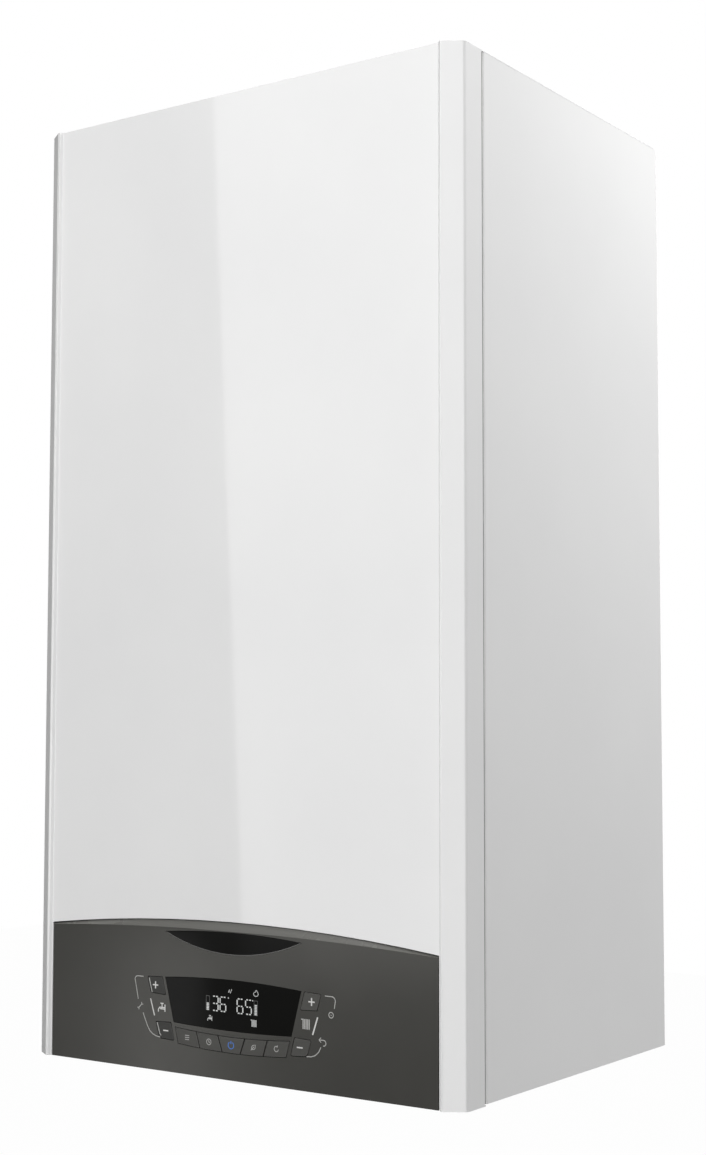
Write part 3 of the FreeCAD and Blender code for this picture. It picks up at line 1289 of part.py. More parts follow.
def venturi():
    """Waisted mixer on the fan's inlet with the gas neck below it."""
    start = point(FAN_RIGHT, FAN_Y, FAN_Z)
    wall, length = VENTURI_WALL, VENTURI_LENGTH
    rim = VENTURI_RADIUS + wall
    waist_start = (length - VENTURI_WAIST_LENGTH) / 2
    waist_end = waist_start + VENTURI_WAIST_LENGTH
    outside = [(rim, 0), (rim, wall), (VENTURI_RADIUS, wall), (VENTURI_WAIST, waist_start),
               (VENTURI_WAIST, waist_end), (VENTURI_RADIUS, length - wall), (rim, length - wall),
               (rim, length)]
    inside = [(VENTURI_RADIUS - wall, length), (VENTURI_WAIST - wall, waist_end),
              (VENTURI_WAIST - wall, waist_start), (FAN_INLET_RADIUS, 0)]
    profile = outside + inside
    body = turned(start, X_AXIS, profile)
    neck_top = FAN_Z - VENTURI_WAIST + wall / 2
    neck = rod(point(GAS_VALVE_X, FAN_Y, neck_top), -Z_AXIS, GAS_NECK_RADIUS, neck_top - GAS_VALVE_TOP)
    return body.fuse(neck).removeSplitter()


def gas_valve():
    """Cast gas valve under the venturi, with two coils on its right and a regulator cap on its front."""
    x, y = GAS_VALVE_X, FAN_Y
    low = GAS_VALVE_TOP - GAS_VALVE_HEIGHT
    body = box((x - GAS_VALVE_WIDTH / 2, x + GAS_VALVE_WIDTH / 2),
               (y - GAS_VALVE_DEPTH / 2, y + GAS_VALVE_DEPTH / 2), (low, GAS_VALVE_TOP))
    body = body.makeFillet(GAS_VALVE_ROUND, edges_along(body, Z_AXIS))
    for height in (low + GAS_COIL_RADIUS, GAS_VALVE_TOP - GAS_COIL_RADIUS):
        coil = rod(point(x + GAS_VALVE_WIDTH / 2 - BEND, y, height), X_AXIS, GAS_COIL_RADIUS, GAS_COIL_LENGTH)
        body = body.fuse(coil)
    cap = rod(point(x, y - GAS_VALVE_DEPTH / 2 + BEND, (low + GAS_VALVE_TOP) / 2), -Y_AXIS, GAS_COIL_RADIUS,
              GAS_CAP_LENGTH)
    return body.fuse(cap).removeSplitter()


def gas_pipe():
    """Gas pipe from its connection at the rail to the back of the gas valve."""
    middle = GAS_VALVE_TOP - GAS_VALVE_HEIGHT / 2
    end = point(GAS_X, FAN_Y + GAS_VALVE_DEPTH / 2, middle)
    route = [point(GAS_X, CONNECTION_Y, RAIL_TOP), point(GAS_X, CONNECTION_Y, middle), end]
    pipe = tube(route, PIPE_RADIUS, PIPE_BEND, PIPE_WALL)
    nut = hex_nut(end, Y_AXIS, PIPE_RADIUS + NUT_WIDTH, NUT_HEIGHT)
    bore = PIPE_RADIUS - PIPE_WALL / 2
    nut = nut.cut(rod(end - Y_AXIS * CUT_SPARE, Y_AXIS, bore, 2 * CUT_SPARE + NUT_HEIGHT))
    return pipe.fuse([nut, stub(GAS_X, CONNECTION_Y, LARGE_STUB, PIPE_RADIUS - PIPE_WALL)]).removeSplitter()


def stub(x, y, radius, bore):
    """Pipe end through the rail: hollow pin below it, a neck in its hole and a hexagon seated on it."""
    low = BOTTOM - STUB_DROP
    pin = rod(point(x, y, low), Z_AXIS, radius, STUB_DROP)
    pin = pin.fuse(rod(point(x, y, BOTTOM), Z_AXIS, radius - STUB_NECK, RAIL_TOP - BOTTOM + NUT_HEIGHT))
    seat = hex_nut(point(x, y, RAIL_TOP), Z_AXIS, radius + NUT_WIDTH, NUT_HEIGHT)
    hole = rod(point(x, y, low - CUT_SPARE), Z_AXIS, bore, RAIL_TOP - low + NUT_HEIGHT + 2 * CUT_SPARE)
    return pin.fuse(seat).cut(hole)


def air_silencer():
    """Upright plastic box that the venturi draws its air through."""
    x_range = (VENTURI_END, VENTURI_END + SILENCER_WIDTH)
    near = FAN_Y - SILENCER_DEPTH / 2 - SILENCER_SHIFT
    y_range = (near, near + SILENCER_DEPTH)
    z_range = (GAS_VALVE_TOP + SILENCER_CLEARANCE, FAN_Z + SILENCER_RISE)
    shell = box(x_range, y_range, z_range)
    outer_edges = [edge for edge in edges_along(shell, Z_AXIS) if edge.CenterOfMass.x > VENTURI_END + BEND]
    shell = shell.makeFillet(SILENCER_ROUND, outer_edges)
    wall = SILENCER_WALL
    room = box((x_range[0] + wall, x_range[1] - wall), (y_range[0] + wall, y_range[1] - wall),
               (z_range[0] + wall, z_range[1] - wall))
    inner_edges = [edge for edge in edges_along(room, Z_AXIS) if edge.CenterOfMass.x > VENTURI_END + 2 * wall]
    room = room.makeFillet(SILENCER_ROUND - wall, inner_edges)
    inlet_start = point(VENTURI_END - CUT_SPARE, FAN_Y, FAN_Z)
    inlet = rod(inlet_start, X_AXIS, VENTURI_RADIUS - VENTURI_WALL, 2 * CUT_SPARE)
    middle = (x_range[0] + x_range[1]) / 2
    mouth_half = SILENCER_MOUTH / 2
    mouth = box((middle - mouth_half, middle + mouth_half), (FAN_Y - SILENCER_MOUTH, FAN_Y + SILENCER_MOUTH),
                (z_range[1] - CUT_SPARE, z_range[1] + CUT_SPARE))
    return shell.cut([room, inlet, mouth]).removeSplitter()


def condensate_sump():
    """Moulded sump under the exchanger with an arm to the flue socket and a drain."""
    y_range = (EXCHANGER_FRONT + SUMP_DEPTH_INSET, EXCHANGER_BACK - SUMP_DEPTH_INSET)
    tray = box((EXCHANGER_X - SUMP_HALF, EXCHANGER_X + SUMP_HALF), y_range,
               (SUMP_LOW, EXCHANGER_Z - EXCHANGER_RADIUS + SUMP_SADDLE))
    arm = box((EXCHANGER_X, FLUE_X), (FLUE_Y - SUMP_ARM_HALF, FLUE_Y + SUMP_ARM_HALF),
              (SUMP_LOW, SUMP_LOW + SUMP_ARM_HEIGHT))
    end = rod(point(FLUE_X, FLUE_Y, SUMP_LOW), Z_AXIS, SUMP_ARM_HALF, SUMP_ARM_HEIGHT)
    socket = rod(point(FLUE_X, FLUE_Y, SUMP_LOW), Z_AXIS, FLUE_RADIUS + FIT + FLUE_SOCKET_WALL,
                 SUMP_ARM_HEIGHT + FLUE_SOCKET_HEIGHT)
    drain_x, drain_y = drain_place()
    drain = rod(point(drain_x, drain_y, SUMP_LOW + BEND), -Z_AXIS, HOSE_RADIUS, DRAIN_LENGTH + BEND)
    body = tray.fuse([arm, end, socket, drain])
    axis_start = point(EXCHANGER_X, EXCHANGER_FRONT, EXCHANGER_Z)
    saddle = rod(axis_start, Y_AXIS, SHELL_REACH + FIT, EXCHANGER_LENGTH)
    bore_start = point(FLUE_X, FLUE_Y, SUMP_LOW + SUMP_ARM_HEIGHT)
    bore = rod(bore_start, Z_AXIS, FLUE_RADIUS + FIT, 2 * FLUE_SOCKET_HEIGHT)
    return body.cut([saddle, bore]).removeSplitter()


def drain_place():
    """Middle of the sump's drain."""
    return EXCHANGER_X - SUMP_HALF + DRAIN_INSET, EXCHANGER_BACK - SUMP_DEPTH_INSET - DRAIN_INSET


def flue_pipe():
    """Plastic flue from the sump's socket up to the adaptor on the top panel."""
    foot = SUMP_LOW + SUMP_ARM_HEIGHT
    turn = TOP - FLUE_TURN_BELOW_TOP
    route = [point(FLUE_X, FLUE_Y, foot), point(FLUE_X, FLUE_Y, turn), point(0, FLUE_Y, turn + FLUE_RISE),
             point(0, FLUE_Y, TOP - ADAPTOR_STOP)]
    return tube(route, FLUE_RADIUS, FLUE_BEND, FLUE_WALL)


def flue_adaptor():
    """Collar on the top panel that holds the outer air tube of the flue."""
    plate_radius = ADAPTOR_RADIUS + ADAPTOR_FLANGE
    ring = ADAPTOR_RADIUS - ADAPTOR_WALL
    return turned(point(0, FLUE_Y, TOP), Z_AXIS,
                  [(ring, 0), (plate_radius, 0), (plate_radius, ADAPTOR_PLATE),
                   (ADAPTOR_RADIUS, ADAPTOR_PLATE), (ADAPTOR_RADIUS, ADAPTOR_RISE), (ring, ADAPTOR_RISE)])


def flue_centre_tube():
    """Flue socket in the middle of the collar, held to it by webs."""
    inner = FLUE_RADIUS + FIT
    outer = inner + FLUE_SOCKET_WALL
    stop = inner - FLUE_WALL
    base = point(0, FLUE_Y, TOP)
    socket = turned(base, Z_AXIS, [(inner, -ADAPTOR_SKIRT), (outer, -ADAPTOR_SKIRT), (outer, ADAPTOR_RISE),
                                   (inner, ADAPTOR_RISE), (inner, 0), (stop, 0), (stop, -ADAPTOR_STOP),
                                   (inner, -ADAPTOR_STOP)])
    webs = []
    for number in range(ADAPTOR_WEB_COUNT):
        web = box((outer - FIT, ADAPTOR_RADIUS), (-ADAPTOR_WEB / 2, ADAPTOR_WEB / 2), (0, ADAPTOR_RISE / 2))
        web.rotate(point(0, 0, 0), Z_AXIS, 360 * number / ADAPTOR_WEB_COUNT + ADAPTOR_WEB_TURN)
        web.translate(base)
        webs.append(web.common(rod(base, Z_AXIS, ADAPTOR_RADIUS - ADAPTOR_WALL, ADAPTOR_RISE)))
    return socket.fuse(webs).removeSplitter()


def condensate_trap():
    """Trap standing on the rail with its outlet through it."""
    base = point(TRAP_X, TRAP_Y, RAIL_TOP)
    drop = RAIL_TOP - BOTTOM + STUB_DROP
    neck = TRAP_OUTLET_RADIUS - STUB_NECK
    shoulder = TRAP_HEIGHT - TRAP_CAP
    outlet = [(0, -drop), (TRAP_OUTLET_RADIUS, -drop), (TRAP_OUTLET_RADIUS, STUB_DROP - drop),
              (neck, STUB_DROP - drop), (neck, 0)]
    bottle = [(TRAP_RADIUS, 0), (TRAP_RADIUS, shoulder), (TRAP_CAP_RADIUS, shoulder),
              (TRAP_CAP_RADIUS, TRAP_HEIGHT), (0, TRAP_HEIGHT)]
    return turned(base, Z_AXIS, outlet + bottle)


def condensate_hose():
    """Hose from the sump's drain down to the trap."""
    x, y = drain_place()
    head = SUMP_LOW - DRAIN_LENGTH
    foot = RAIL_TOP + TRAP_HEIGHT
    third = (head - foot) / 3
    route = [point(x, y, head), point(x, y, head - third), point(TRAP_X, TRAP_Y, foot + third),
             point(TRAP_X, TRAP_Y, foot)]
    return tube(route, HOSE_RADIUS, HOSE_BEND, HOSE_WALL)


def vessel_place():
    """Middle, lowest and highest level of the expansion vessel."""
    x = VESSEL_LEFT + VESSEL_WIDTH / 2
    high = TOP - VESSEL_BELOW_TOP
    return x, high - VESSEL_HEIGHT, high


def vessel_outline(grow, y):
    """Upright rounded outline of the expansion vessel, grown by a margin."""
    x, low, high = vessel_place()
    half = VESSEL_WIDTH / 2 + grow
    foot, head = low - grow, high + grow
    corners = [point(x - half, y, foot), point(x + half, y, foot)]
    corners += [point(x + half, y, head), point(x - half, y, head)]
    return rounded_loop(corners, [VESSEL_ROUND + grow] * 4)


def vessel_form(inset):
    """Rounded body of the expansion vessel, drawn in by an inset on all sides."""
    back = -FRAME_SHEET - CHANNEL_DEPTH - inset
    body = Part.Face(vessel_outline(-inset, back)).extrude(point(0, 2 * inset - VESSEL_DEPTH, 0))
    ends = [edge for edge in body.Edges if edge.BoundBox.YLength < FIT]
    return body.makeFillet(VESSEL_EDGE - inset, ends)


def expansion_vessel():
    """Flat hollow vessel of two pressed halves with a rim between them and its pipe to the return block."""
    middle = -FRAME_SHEET - CHANNEL_DEPTH - VESSEL_DEPTH / 2
    rim = Part.Face(vessel_outline(VESSEL_RIM, middle)).extrude(point(0, VESSEL_RIM_THICKNESS, 0))
    pipe_top = vessel_place()[1] + VESSEL_EDGE
    start = point(PUMP_X, middle, level(RETURN_HEAD))
    length = pipe_top - start.z
    body = vessel_form(0).fuse([rim, rod(start, Z_AXIS, VESSEL_PIPE_RADIUS, length)])
    bore = rod(start, Z_AXIS, VESSEL_PIPE_RADIUS - VESSEL_WALL, length)
    return body.cut([vessel_form(VESSEL_WALL), bore]).removeSplitter()


def flow_pipe():
    """Pipe from the exchanger's flow stub down the left side to the flow block."""
    y, z = stub_places()[0]
    head = level(FLOW_BLOCK_LEVEL)
    run = head + 2 * PIPE_BEND
    route = [point(stub_end(), y, z), point(PIPE_X, y, z), point(PIPE_X, y, run)]
    route += [point(FLOW_X, CONNECTION_Y, run), point(FLOW_X, CONNECTION_Y, head)]
    return tube(route, PIPE_RADIUS, PIPE_BEND, PIPE_WALL)


def return_pipe():
    """Pipe from the return block behind the fan and up the left side to the exchanger's return stub."""
    y, z = stub_places()[1]
    x = RETURN_RIGHT - 2 * PIPE_RADIUS
    back = RETURN_BACK - 2 * PIPE_RADIUS
    run = vessel_place()[1] - VESSEL_RIM - 2 * PIPE_RADIUS
    route = [point(x, back, level(RETURN_HEAD)), point(x, back, run), point(PIPE_X, back, run),
             point(PIPE_X, back, z), point(PIPE_X, y, z), point(stub_end(), y, z)]
    return tube(route, PIPE_RADIUS, PIPE_BEND, PIPE_WALL)


def plate_middle():
    """Depth and height of the plate exchanger's middle."""
    return -PLATE_FROM_WALL - PLATE_DEPTH / 2, level(PLATE_LEVEL) + PLATE_HEIGHT / 2


def flow_block():
    """Moulded block on the flow connection with the diverter bore and an arm to the plate exchanger."""
    foot = RAIL_TOP + NUT_HEIGHT
    head = level(FLOW_BLOCK_LEVEL)
    body = rod(point(FLOW_X, CONNECTION_Y, foot), Z_AXIS, FLOW_BLOCK_RADIUS, head - foot)
    y, z = plate_middle()
    arm = box((FLOW_X + FLOW_BLOCK_RADIUS / 2, -PLATE_HALF), (CONNECTION_Y, y + PORT_ARM_DEPTH / 2),
              (z - PORT_ARM_HEIGHT / 2, z + PORT_ARM_HEIGHT / 2))
    front = CONNECTION_Y - FLOW_BLOCK_RADIUS
    nose = rod(point(FLOW_X, front, level(DIVERTER_LEVEL)), Y_AXIS, 2 * DIVERTER_BORE, FLOW_BLOCK_RADIUS)
    end = stub(FLOW_X, CONNECTION_Y, LARGE_STUB, LARGE_STUB - STUB_WALL)
    block = body.fuse([arm, nose, end])
    bore = rod(point(FLOW_X, front, level(DIVERTER_LEVEL)), Y_AXIS, DIVERTER_BORE,
               DIVERTER_LENGTH + DIVERTER_TRAVEL + 3 * DIVERTER_END_GAP)
    return block.cut(bore).removeSplitter()


def diverter_spindle():
    """Valve spindle with two discs that slides in the flow block's bore."""
    front = CONNECTION_Y - FLOW_BLOCK_RADIUS + DIVERTER_END_GAP
    disc = DIVERTER_BORE - DIVERTER_RUNNING
    stem, length = DIVERTER_STEM, DIVERTER_LENGTH
    near_disc = [(0, 0), (disc, 0), (disc, stem), (stem, stem)]
    far_disc = [(stem, length - stem), (disc, length - stem), (disc, length), (0, length)]
    return turned(point(FLOW_X, front, level(DIVERTER_LEVEL)), Y_AXIS, near_disc + far_disc)


def diverter_motor():
    """Motor head on the front of the flow block."""
    back = CONNECTION_Y - FLOW_BLOCK_RADIUS
    z = level(DIVERTER_LEVEL)
    head = box((FLOW_X - DIVERTER_WIDTH / 2, FLOW_X + DIVERTER_WIDTH / 2), (back - DIVERTER_DEPTH, back),
               (z - DIVERTER_HEIGHT / 2, z + DIVERTER_HEIGHT / 2))
    head = head.makeFillet(DIVERTER_ROUND, edges_along(head, Y_AXIS))
    front = [edge for edge in head.Edges if edge.BoundBox.YMax < back - DIVERTER_DEPTH + BEND]
    return head.makeChamfer(DIVERTER_CHAMFER, front)


def plate_heat_exchanger():
    """Brazed stack of grooved plates between the flow and return blocks."""
    y_low = -PLATE_FROM_WALL - PLATE_DEPTH
    z_range = (level(PLATE_LEVEL), level(PLATE_LEVEL) + PLATE_HEIGHT)
    half = PLATE_HALF
    stack = box((-half, half), (y_low, -PLATE_FROM_WALL), z_range)
    pitch = PLATE_DEPTH / PLATE_COUNT
    slots = []
    for number in range(PLATE_COUNT - 1):
        middle = y_low + (number + 1) * pitch
        slot = box((-half, half), (middle - PLATE_GROOVE / 2, middle + PLATE_GROOVE / 2),
                   (z_range[0] - CUT_SPARE, z_range[1] + CUT_SPARE))
        core = box((-half, half), (middle - PLATE_GROOVE, middle + PLATE_GROOVE),
                   (z_range[0] + PLATE_GROOVE_DEPTH, z_range[1] - PLATE_GROOVE_DEPTH))
        slots.append(slot.cut(core))
    wall = PLATE_WALL
    room = box((-half + wall, half - wall), (y_low + wall, -PLATE_FROM_WALL - wall),
               (z_range[0] + wall, z_range[1] - wall))
    ports = [rod(point(x, plate_middle()[0], z_range[0] - CUT_SPARE), Z_AXIS, PIPE_RADIUS - PIPE_WALL,
                 wall + 2 * CUT_SPARE) for x in (HOT_X, COLD_X)]
    return stack.cut(slots + ports + [room]).removeSplitter()


def return_block():
    """Moulded return block with the pump scroll, the safety valve seat and the filling tap's stem guide."""
    x_range = (RETURN_LEFT, RETURN_RIGHT)
    body = box(x_range, (RETURN_FRONT, RETURN_BACK), (level(RETURN_FOOT), level(RETURN_HEAD)))
    right_edges = [edge for edge in edges_along(body, Z_AXIS) if edge.CenterOfMass.x > PUMP_X]
    body = body.makeFillet(RETURN_ROUND, right_edges)
    scroll = rod(point(PUMP_X, PUMP_FACE, level(PUMP_LEVEL)), Y_AXIS, PUMP_RADIUS, PUMP_CHAMBER)
    end = stub(RETURN_X, CONNECTION_Y, LARGE_STUB, LARGE_STUB - STUB_WALL)
    riser = rod(point(RETURN_X, CONNECTION_Y, RAIL_TOP + NUT_HEIGHT), Z_AXIS, LARGE_STUB,
                level(RETURN_FOOT) - RAIL_TOP - NUT_HEIGHT + BEND)
    guide = rod(point(filling_x(), -FILL_FROM_WALL, RAIL_TOP), Z_AXIS, FILL_BODY_RADIUS,
                level(RETURN_FOOT) - RAIL_TOP + BEND)
    block = body.fuse([scroll, riser, guide, end])
    chamber = rod(point(PUMP_X, PUMP_FACE - CUT_SPARE, level(PUMP_LEVEL)), Y_AXIS, PUMP_RADIUS - PUMP_WALL,
                  PUMP_CHAMBER - PUMP_WALL + CUT_SPARE)
    hole_start = point(filling_x(), -FILL_FROM_WALL, RAIL_TOP - CUT_SPARE)
    stem_hole = rod(hole_start, Z_AXIS, FILL_STEM + SHAFT_RUNNING, level(RETURN_FOOT) - hole_start.z)
    return block.cut([chamber, stem_hole]).removeSplitter()


def pump_motor():
    """Canned pump motor with a stepped front and its shaft."""
    start = point(PUMP_X, PUMP_FACE, level(PUMP_LEVEL))
    reach = PUMP_CHAMBER - PUMP_WALL - PUMP_WHEEL_CLEARANCE
    step = PUMP_MOTOR_STEP
    return turned(start, -Y_AXIS, [(0, -reach), (PUMP_SHAFT_RADIUS, -reach), (PUMP_SHAFT_RADIUS, 0),
                                   (PUMP_RADIUS, 0), (PUMP_RADIUS, step), (PUMP_MOTOR_RADIUS, step),
                                   (PUMP_MOTOR_RADIUS, PUMP_MOTOR_LENGTH - 2 * step),
                                   (PUMP_MOTOR_RADIUS - step, PUMP_MOTOR_LENGTH - step),
                                   (2 * step, PUMP_MOTOR_LENGTH - step), (2 * step, PUMP_MOTOR_LENGTH),
                                   (0, PUMP_MOTOR_LENGTH)])


def pump_impeller():
    """Vaned wheel on the pump shaft."""
    start = point(PUMP_X, PUMP_FACE + PUMP_WHEEL_CLEARANCE / 2, level(PUMP_LEVEL))
    radius = PUMP_RADIUS - PUMP_WALL - PUMP_WHEEL_CLEARANCE
    width = PUMP_CHAMBER - PUMP_WALL - 2 * PUMP_WHEEL_CLEARANCE
    bore = PUMP_SHAFT_RADIUS + SHAFT_RUNNING
    hub = 2 * PUMP_SHAFT_RADIUS
    disc = [(bore, 0), (radius, 0), (radius, PUMP_VANE), (hub, PUMP_VANE)]
    wheel = turned(start, Y_AXIS, disc + [(hub, width), (bore, width)])
    vanes = []
    for number in range(PUMP_VANES):
        vane = box((-PUMP_VANE / 2, PUMP_VANE / 2), (PUMP_VANE / 2, width),
                   (hub - PUMP_VANE / 2, radius - PUMP_VANE))
        vane.rotate(point(0, 0, hub), Y_AXIS, PUMP_VANE_ANGLE)
        vane.rotate(point(0, 0, 0), Y_AXIS, 360 * number / PUMP_VANES)
        vane.translate(start)
        vanes.append(vane)
    return wheel.fuse(vanes).removeSplitter()


def water_pipe(x):
    """Pipe from a water connection at the rail back and up to the plate exchanger."""
    y, _ = plate_middle()
    foot = level(PLATE_LEVEL)
    run = foot - PIPE_BEND - PIPE_WALL
    route = [point(x, CONNECTION_Y, RAIL_TOP), point(x, CONNECTION_Y, run)]
    route += [point(x, y, run), point(x, y, foot)]
    pipe = tube(route, PIPE_RADIUS, PIPE_BEND, PIPE_WALL)
    return pipe.fuse(stub(x, CONNECTION_Y, SMALL_STUB, PIPE_RADIUS - PIPE_WALL)).removeSplitter()


def water_pipes():
    """Hot water outlet and cold water inlet."""
    return Part.makeCompound([water_pipe(HOT_X), water_pipe(COLD_X)])


def safety_place():
    """Seat of the safety valve on the front of the return block."""
    return point(PUMP_X, RETURN_FRONT, level(SAFETY_LEVEL))


def safety_valve():
    """Brass valve body with a hexagon and the stem that its knob turns on."""
    start = safety_place()
    nut = hex_nut(start, -Y_AXIS, SAFETY_RADIUS + STUB_WALL, NUT_HEIGHT)
    body = rod(start, -Y_AXIS, SAFETY_RADIUS, SAFETY_LENGTH)
    stem = rod(start, -Y_AXIS, SAFETY_STEM, SAFETY_LENGTH + SAFETY_KNOB_LENGTH / 2)
    return nut.fuse([body, stem]).removeSplitter()


def fluted_knob(start, axis, radius, length):
    """Round grip with flutes round its outer part."""
    profile = [(0, 0), (radius - BEND, 0), (radius, BEND), (radius, length - BEND), (radius - BEND, length),
               (0, length)]
    grip = turned(start, axis, profile)
    side = Z_AXIS if abs(axis.z) < 0.5 else X_AXIS
    across = axis.cross(side)
    reach = radius + BEND
    flutes = []
    for number in range(KNOB_FLUTES):
        angle = 2 * math.pi * number / KNOB_FLUTES
        middle = start + side * (reach * math.cos(angle)) + across * (reach * math.sin(angle))
        flutes.append(rod(middle + axis * (length / 4), axis, KNOB_FLUTE_RADIUS, length))
    return grip.cut(flutes)


def safety_knob():
    """Fluted knob of the safety valve, bored for the valve's stem."""
    start = safety_place() - Y_AXIS * (SAFETY_LENGTH + KNOB_GAP)
    grip = fluted_knob(start, -Y_AXIS, SAFETY_KNOB_RADIUS, SAFETY_KNOB_LENGTH)
    bore = rod(start, -Y_AXIS, SAFETY_STEM + SHAFT_RUNNING, SAFETY_KNOB_LENGTH / 2)
    return grip.cut(bore).removeSplitter()


def filling_knob():
    """Filling tap's knob under the rail, with its stem up into the return block."""
    head = BOTTOM - FILL_KNOB_DROP + FILL_KNOB_HEIGHT
    start = point(filling_x(), -FILL_FROM_WALL, head)
    grip = fluted_knob(start, -Z_AXIS, FILL_KNOB_RADIUS, FILL_KNOB_HEIGHT)
    stem_head = level(RETURN_FOOT) - SHAFT_RUNNING
    stem = rod(start - Z_AXIS * (2 * BEND), Z_AXIS, FILL_STEM, stem_head - start.z + BEND)
    return grip.fuse(stem).removeSplitter()


def assembly():
    """Every piece of the boiler by name."""
    casing = [back_frame, left_side_panel, right_side_panel, top_panel, front_cover, cover_seal,
              front_crossbar, connection_rail, hinge_brackets, cable_gland]
    panel = [panel_fascia, emblem_plate, display_window, display_board, control_box, control_box_cover,
             main_board]
    burner = [heat_exchanger_shell, burner_door, burner_tube, electrodes, spark_generator, ignition_lead]
    mixture = [fan_housing, fan_motor, fan_impeller, mixture_duct, venturi, gas_valve, gas_pipe, air_silencer]
    drains = [condensate_sump, flue_pipe, flue_adaptor, flue_centre_tube, condensate_trap, condensate_hose]
    water = [expansion_vessel, flow_pipe, return_pipe, flow_block, diverter_spindle, diverter_motor,
             plate_heat_exchanger, return_block, pump_motor, pump_impeller, water_pipes, safety_valve,
             safety_knob, filling_knob]
    builders = casing + panel + burner + mixture + drains + water
    pieces = {builder.__name__: builder() for builder in builders}
    for name in key_places():
        pieces[name] = key_cap(name)
    return pieces


os.makedirs("parts", exist_ok=True)
for piece_name, piece in assembly().items():
    piece.exportStep(os.path.join("parts", piece_name + ".step"))
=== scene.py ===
"""Looks of a wall-hung condensing boiler: white casing, dark control panel, burner and water side."""
import json
import logging
import math
from dataclasses import dataclass
from enum import Enum
from functools import partial
from typing import Callable, Sequence

import bpy
from mathutils import Matrix, Vector

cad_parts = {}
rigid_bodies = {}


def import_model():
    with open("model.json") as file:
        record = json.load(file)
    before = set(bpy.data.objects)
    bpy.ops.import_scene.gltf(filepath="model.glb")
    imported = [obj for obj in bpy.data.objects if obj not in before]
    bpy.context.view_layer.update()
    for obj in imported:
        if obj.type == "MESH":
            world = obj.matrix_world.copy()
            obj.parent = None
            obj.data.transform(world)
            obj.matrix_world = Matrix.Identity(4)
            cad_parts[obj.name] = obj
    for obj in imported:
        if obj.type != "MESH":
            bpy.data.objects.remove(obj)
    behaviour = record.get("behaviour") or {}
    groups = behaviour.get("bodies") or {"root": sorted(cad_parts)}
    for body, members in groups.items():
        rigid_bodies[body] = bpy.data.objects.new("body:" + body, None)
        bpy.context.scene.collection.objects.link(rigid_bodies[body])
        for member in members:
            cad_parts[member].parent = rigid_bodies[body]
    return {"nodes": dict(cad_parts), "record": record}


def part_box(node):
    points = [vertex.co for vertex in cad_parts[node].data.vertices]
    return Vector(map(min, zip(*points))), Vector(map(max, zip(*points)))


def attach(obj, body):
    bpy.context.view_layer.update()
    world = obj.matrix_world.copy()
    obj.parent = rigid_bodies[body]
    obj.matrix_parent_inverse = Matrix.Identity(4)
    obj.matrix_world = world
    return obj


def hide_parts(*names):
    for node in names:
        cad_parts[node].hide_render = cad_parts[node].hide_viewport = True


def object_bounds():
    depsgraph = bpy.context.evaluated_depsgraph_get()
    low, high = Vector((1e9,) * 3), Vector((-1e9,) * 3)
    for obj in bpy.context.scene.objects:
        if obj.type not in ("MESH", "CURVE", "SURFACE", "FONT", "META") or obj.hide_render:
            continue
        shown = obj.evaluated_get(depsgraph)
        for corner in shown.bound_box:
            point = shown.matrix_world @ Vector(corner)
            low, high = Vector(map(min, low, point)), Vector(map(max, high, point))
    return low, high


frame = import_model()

MM = 0.001
LOG = logging.getLogger("boiler")
CAD_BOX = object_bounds()
FOOT = -0.7
# Merging distances in metres, and turns in radians: the largest of a flat face, the smallest of an edge
WELD = 0.000002
RING_WELD = 0.00001
FLAT_TURN = math.radians(0.4)
EDGE_TURN = math.radians(32.0)
BODY_OF = {node: body for body, nodes in frame["record"]["behaviour"]["bodies"].items() for node in nodes}
SLOT_OF = {item["node"]: item["material_slot"] for item in frame["record"]["subparts"]}

Colour = tuple[float, float, float]
Spot = tuple[float, float]
Point = tuple[float, float, float]
Test = Callable[[Vector, Vector], bool]


class Relief(Enum):
    """Fine shape of a surface."""
    PEEL = "soft waves of sprayed paint"
    GRAIN = "moulded or rubbed grain"
    CAST = "sand-cast skin"
    BRUSHED = "long fine scratches"
    SPANGLE = "zinc crystals"
    TRACKS = "printed copper tracks"


class Axis(Enum):
    """Direction that a screw head or a ring faces."""
    FRONT = Vector((0, -1, 0))
    BACK = Vector((0, 1, 0))
    UP = Vector((0, 0, 1))
    DOWN = Vector((0, 0, -1))
    RIGHT = Vector((1, 0, 0))
    LEFT = Vector((-1, 0, 0))


@dataclass(frozen=True)
class Finish:
    """A material: two tones that drift into each other, a band of gloss and a fine relief.

    Attributes:
        name: Name of the material.
        dark: Darker tone.
        light: Lighter tone.
        rough: Lowest and highest roughness.
        relief: Kind of fine shape.
        fineness: Features of the relief per metre.
        height: Height of the relief in metres.
        metal: Metallic value.
        coat: Weight of the clear coat.
        coat_rough: Roughness of the clear coat.
        specular: Level of the plain reflection.
        drift: Tone changes per metre.
        mask_share: How much of the tone follows the relief and not the drift.
        glow: Strength of the light that the surface gives.
    """
    name: str
    dark: Colour
    light: Colour
    rough: Spot
    relief: Relief
    fineness: float
    height: float
    metal: float = 0.0
    coat: float = 0.0
    coat_rough: float = 0.1
    specular: float = 0.5
    drift: float = 7.0
    mask_share: float = 0.0
    glow: float = 0.0


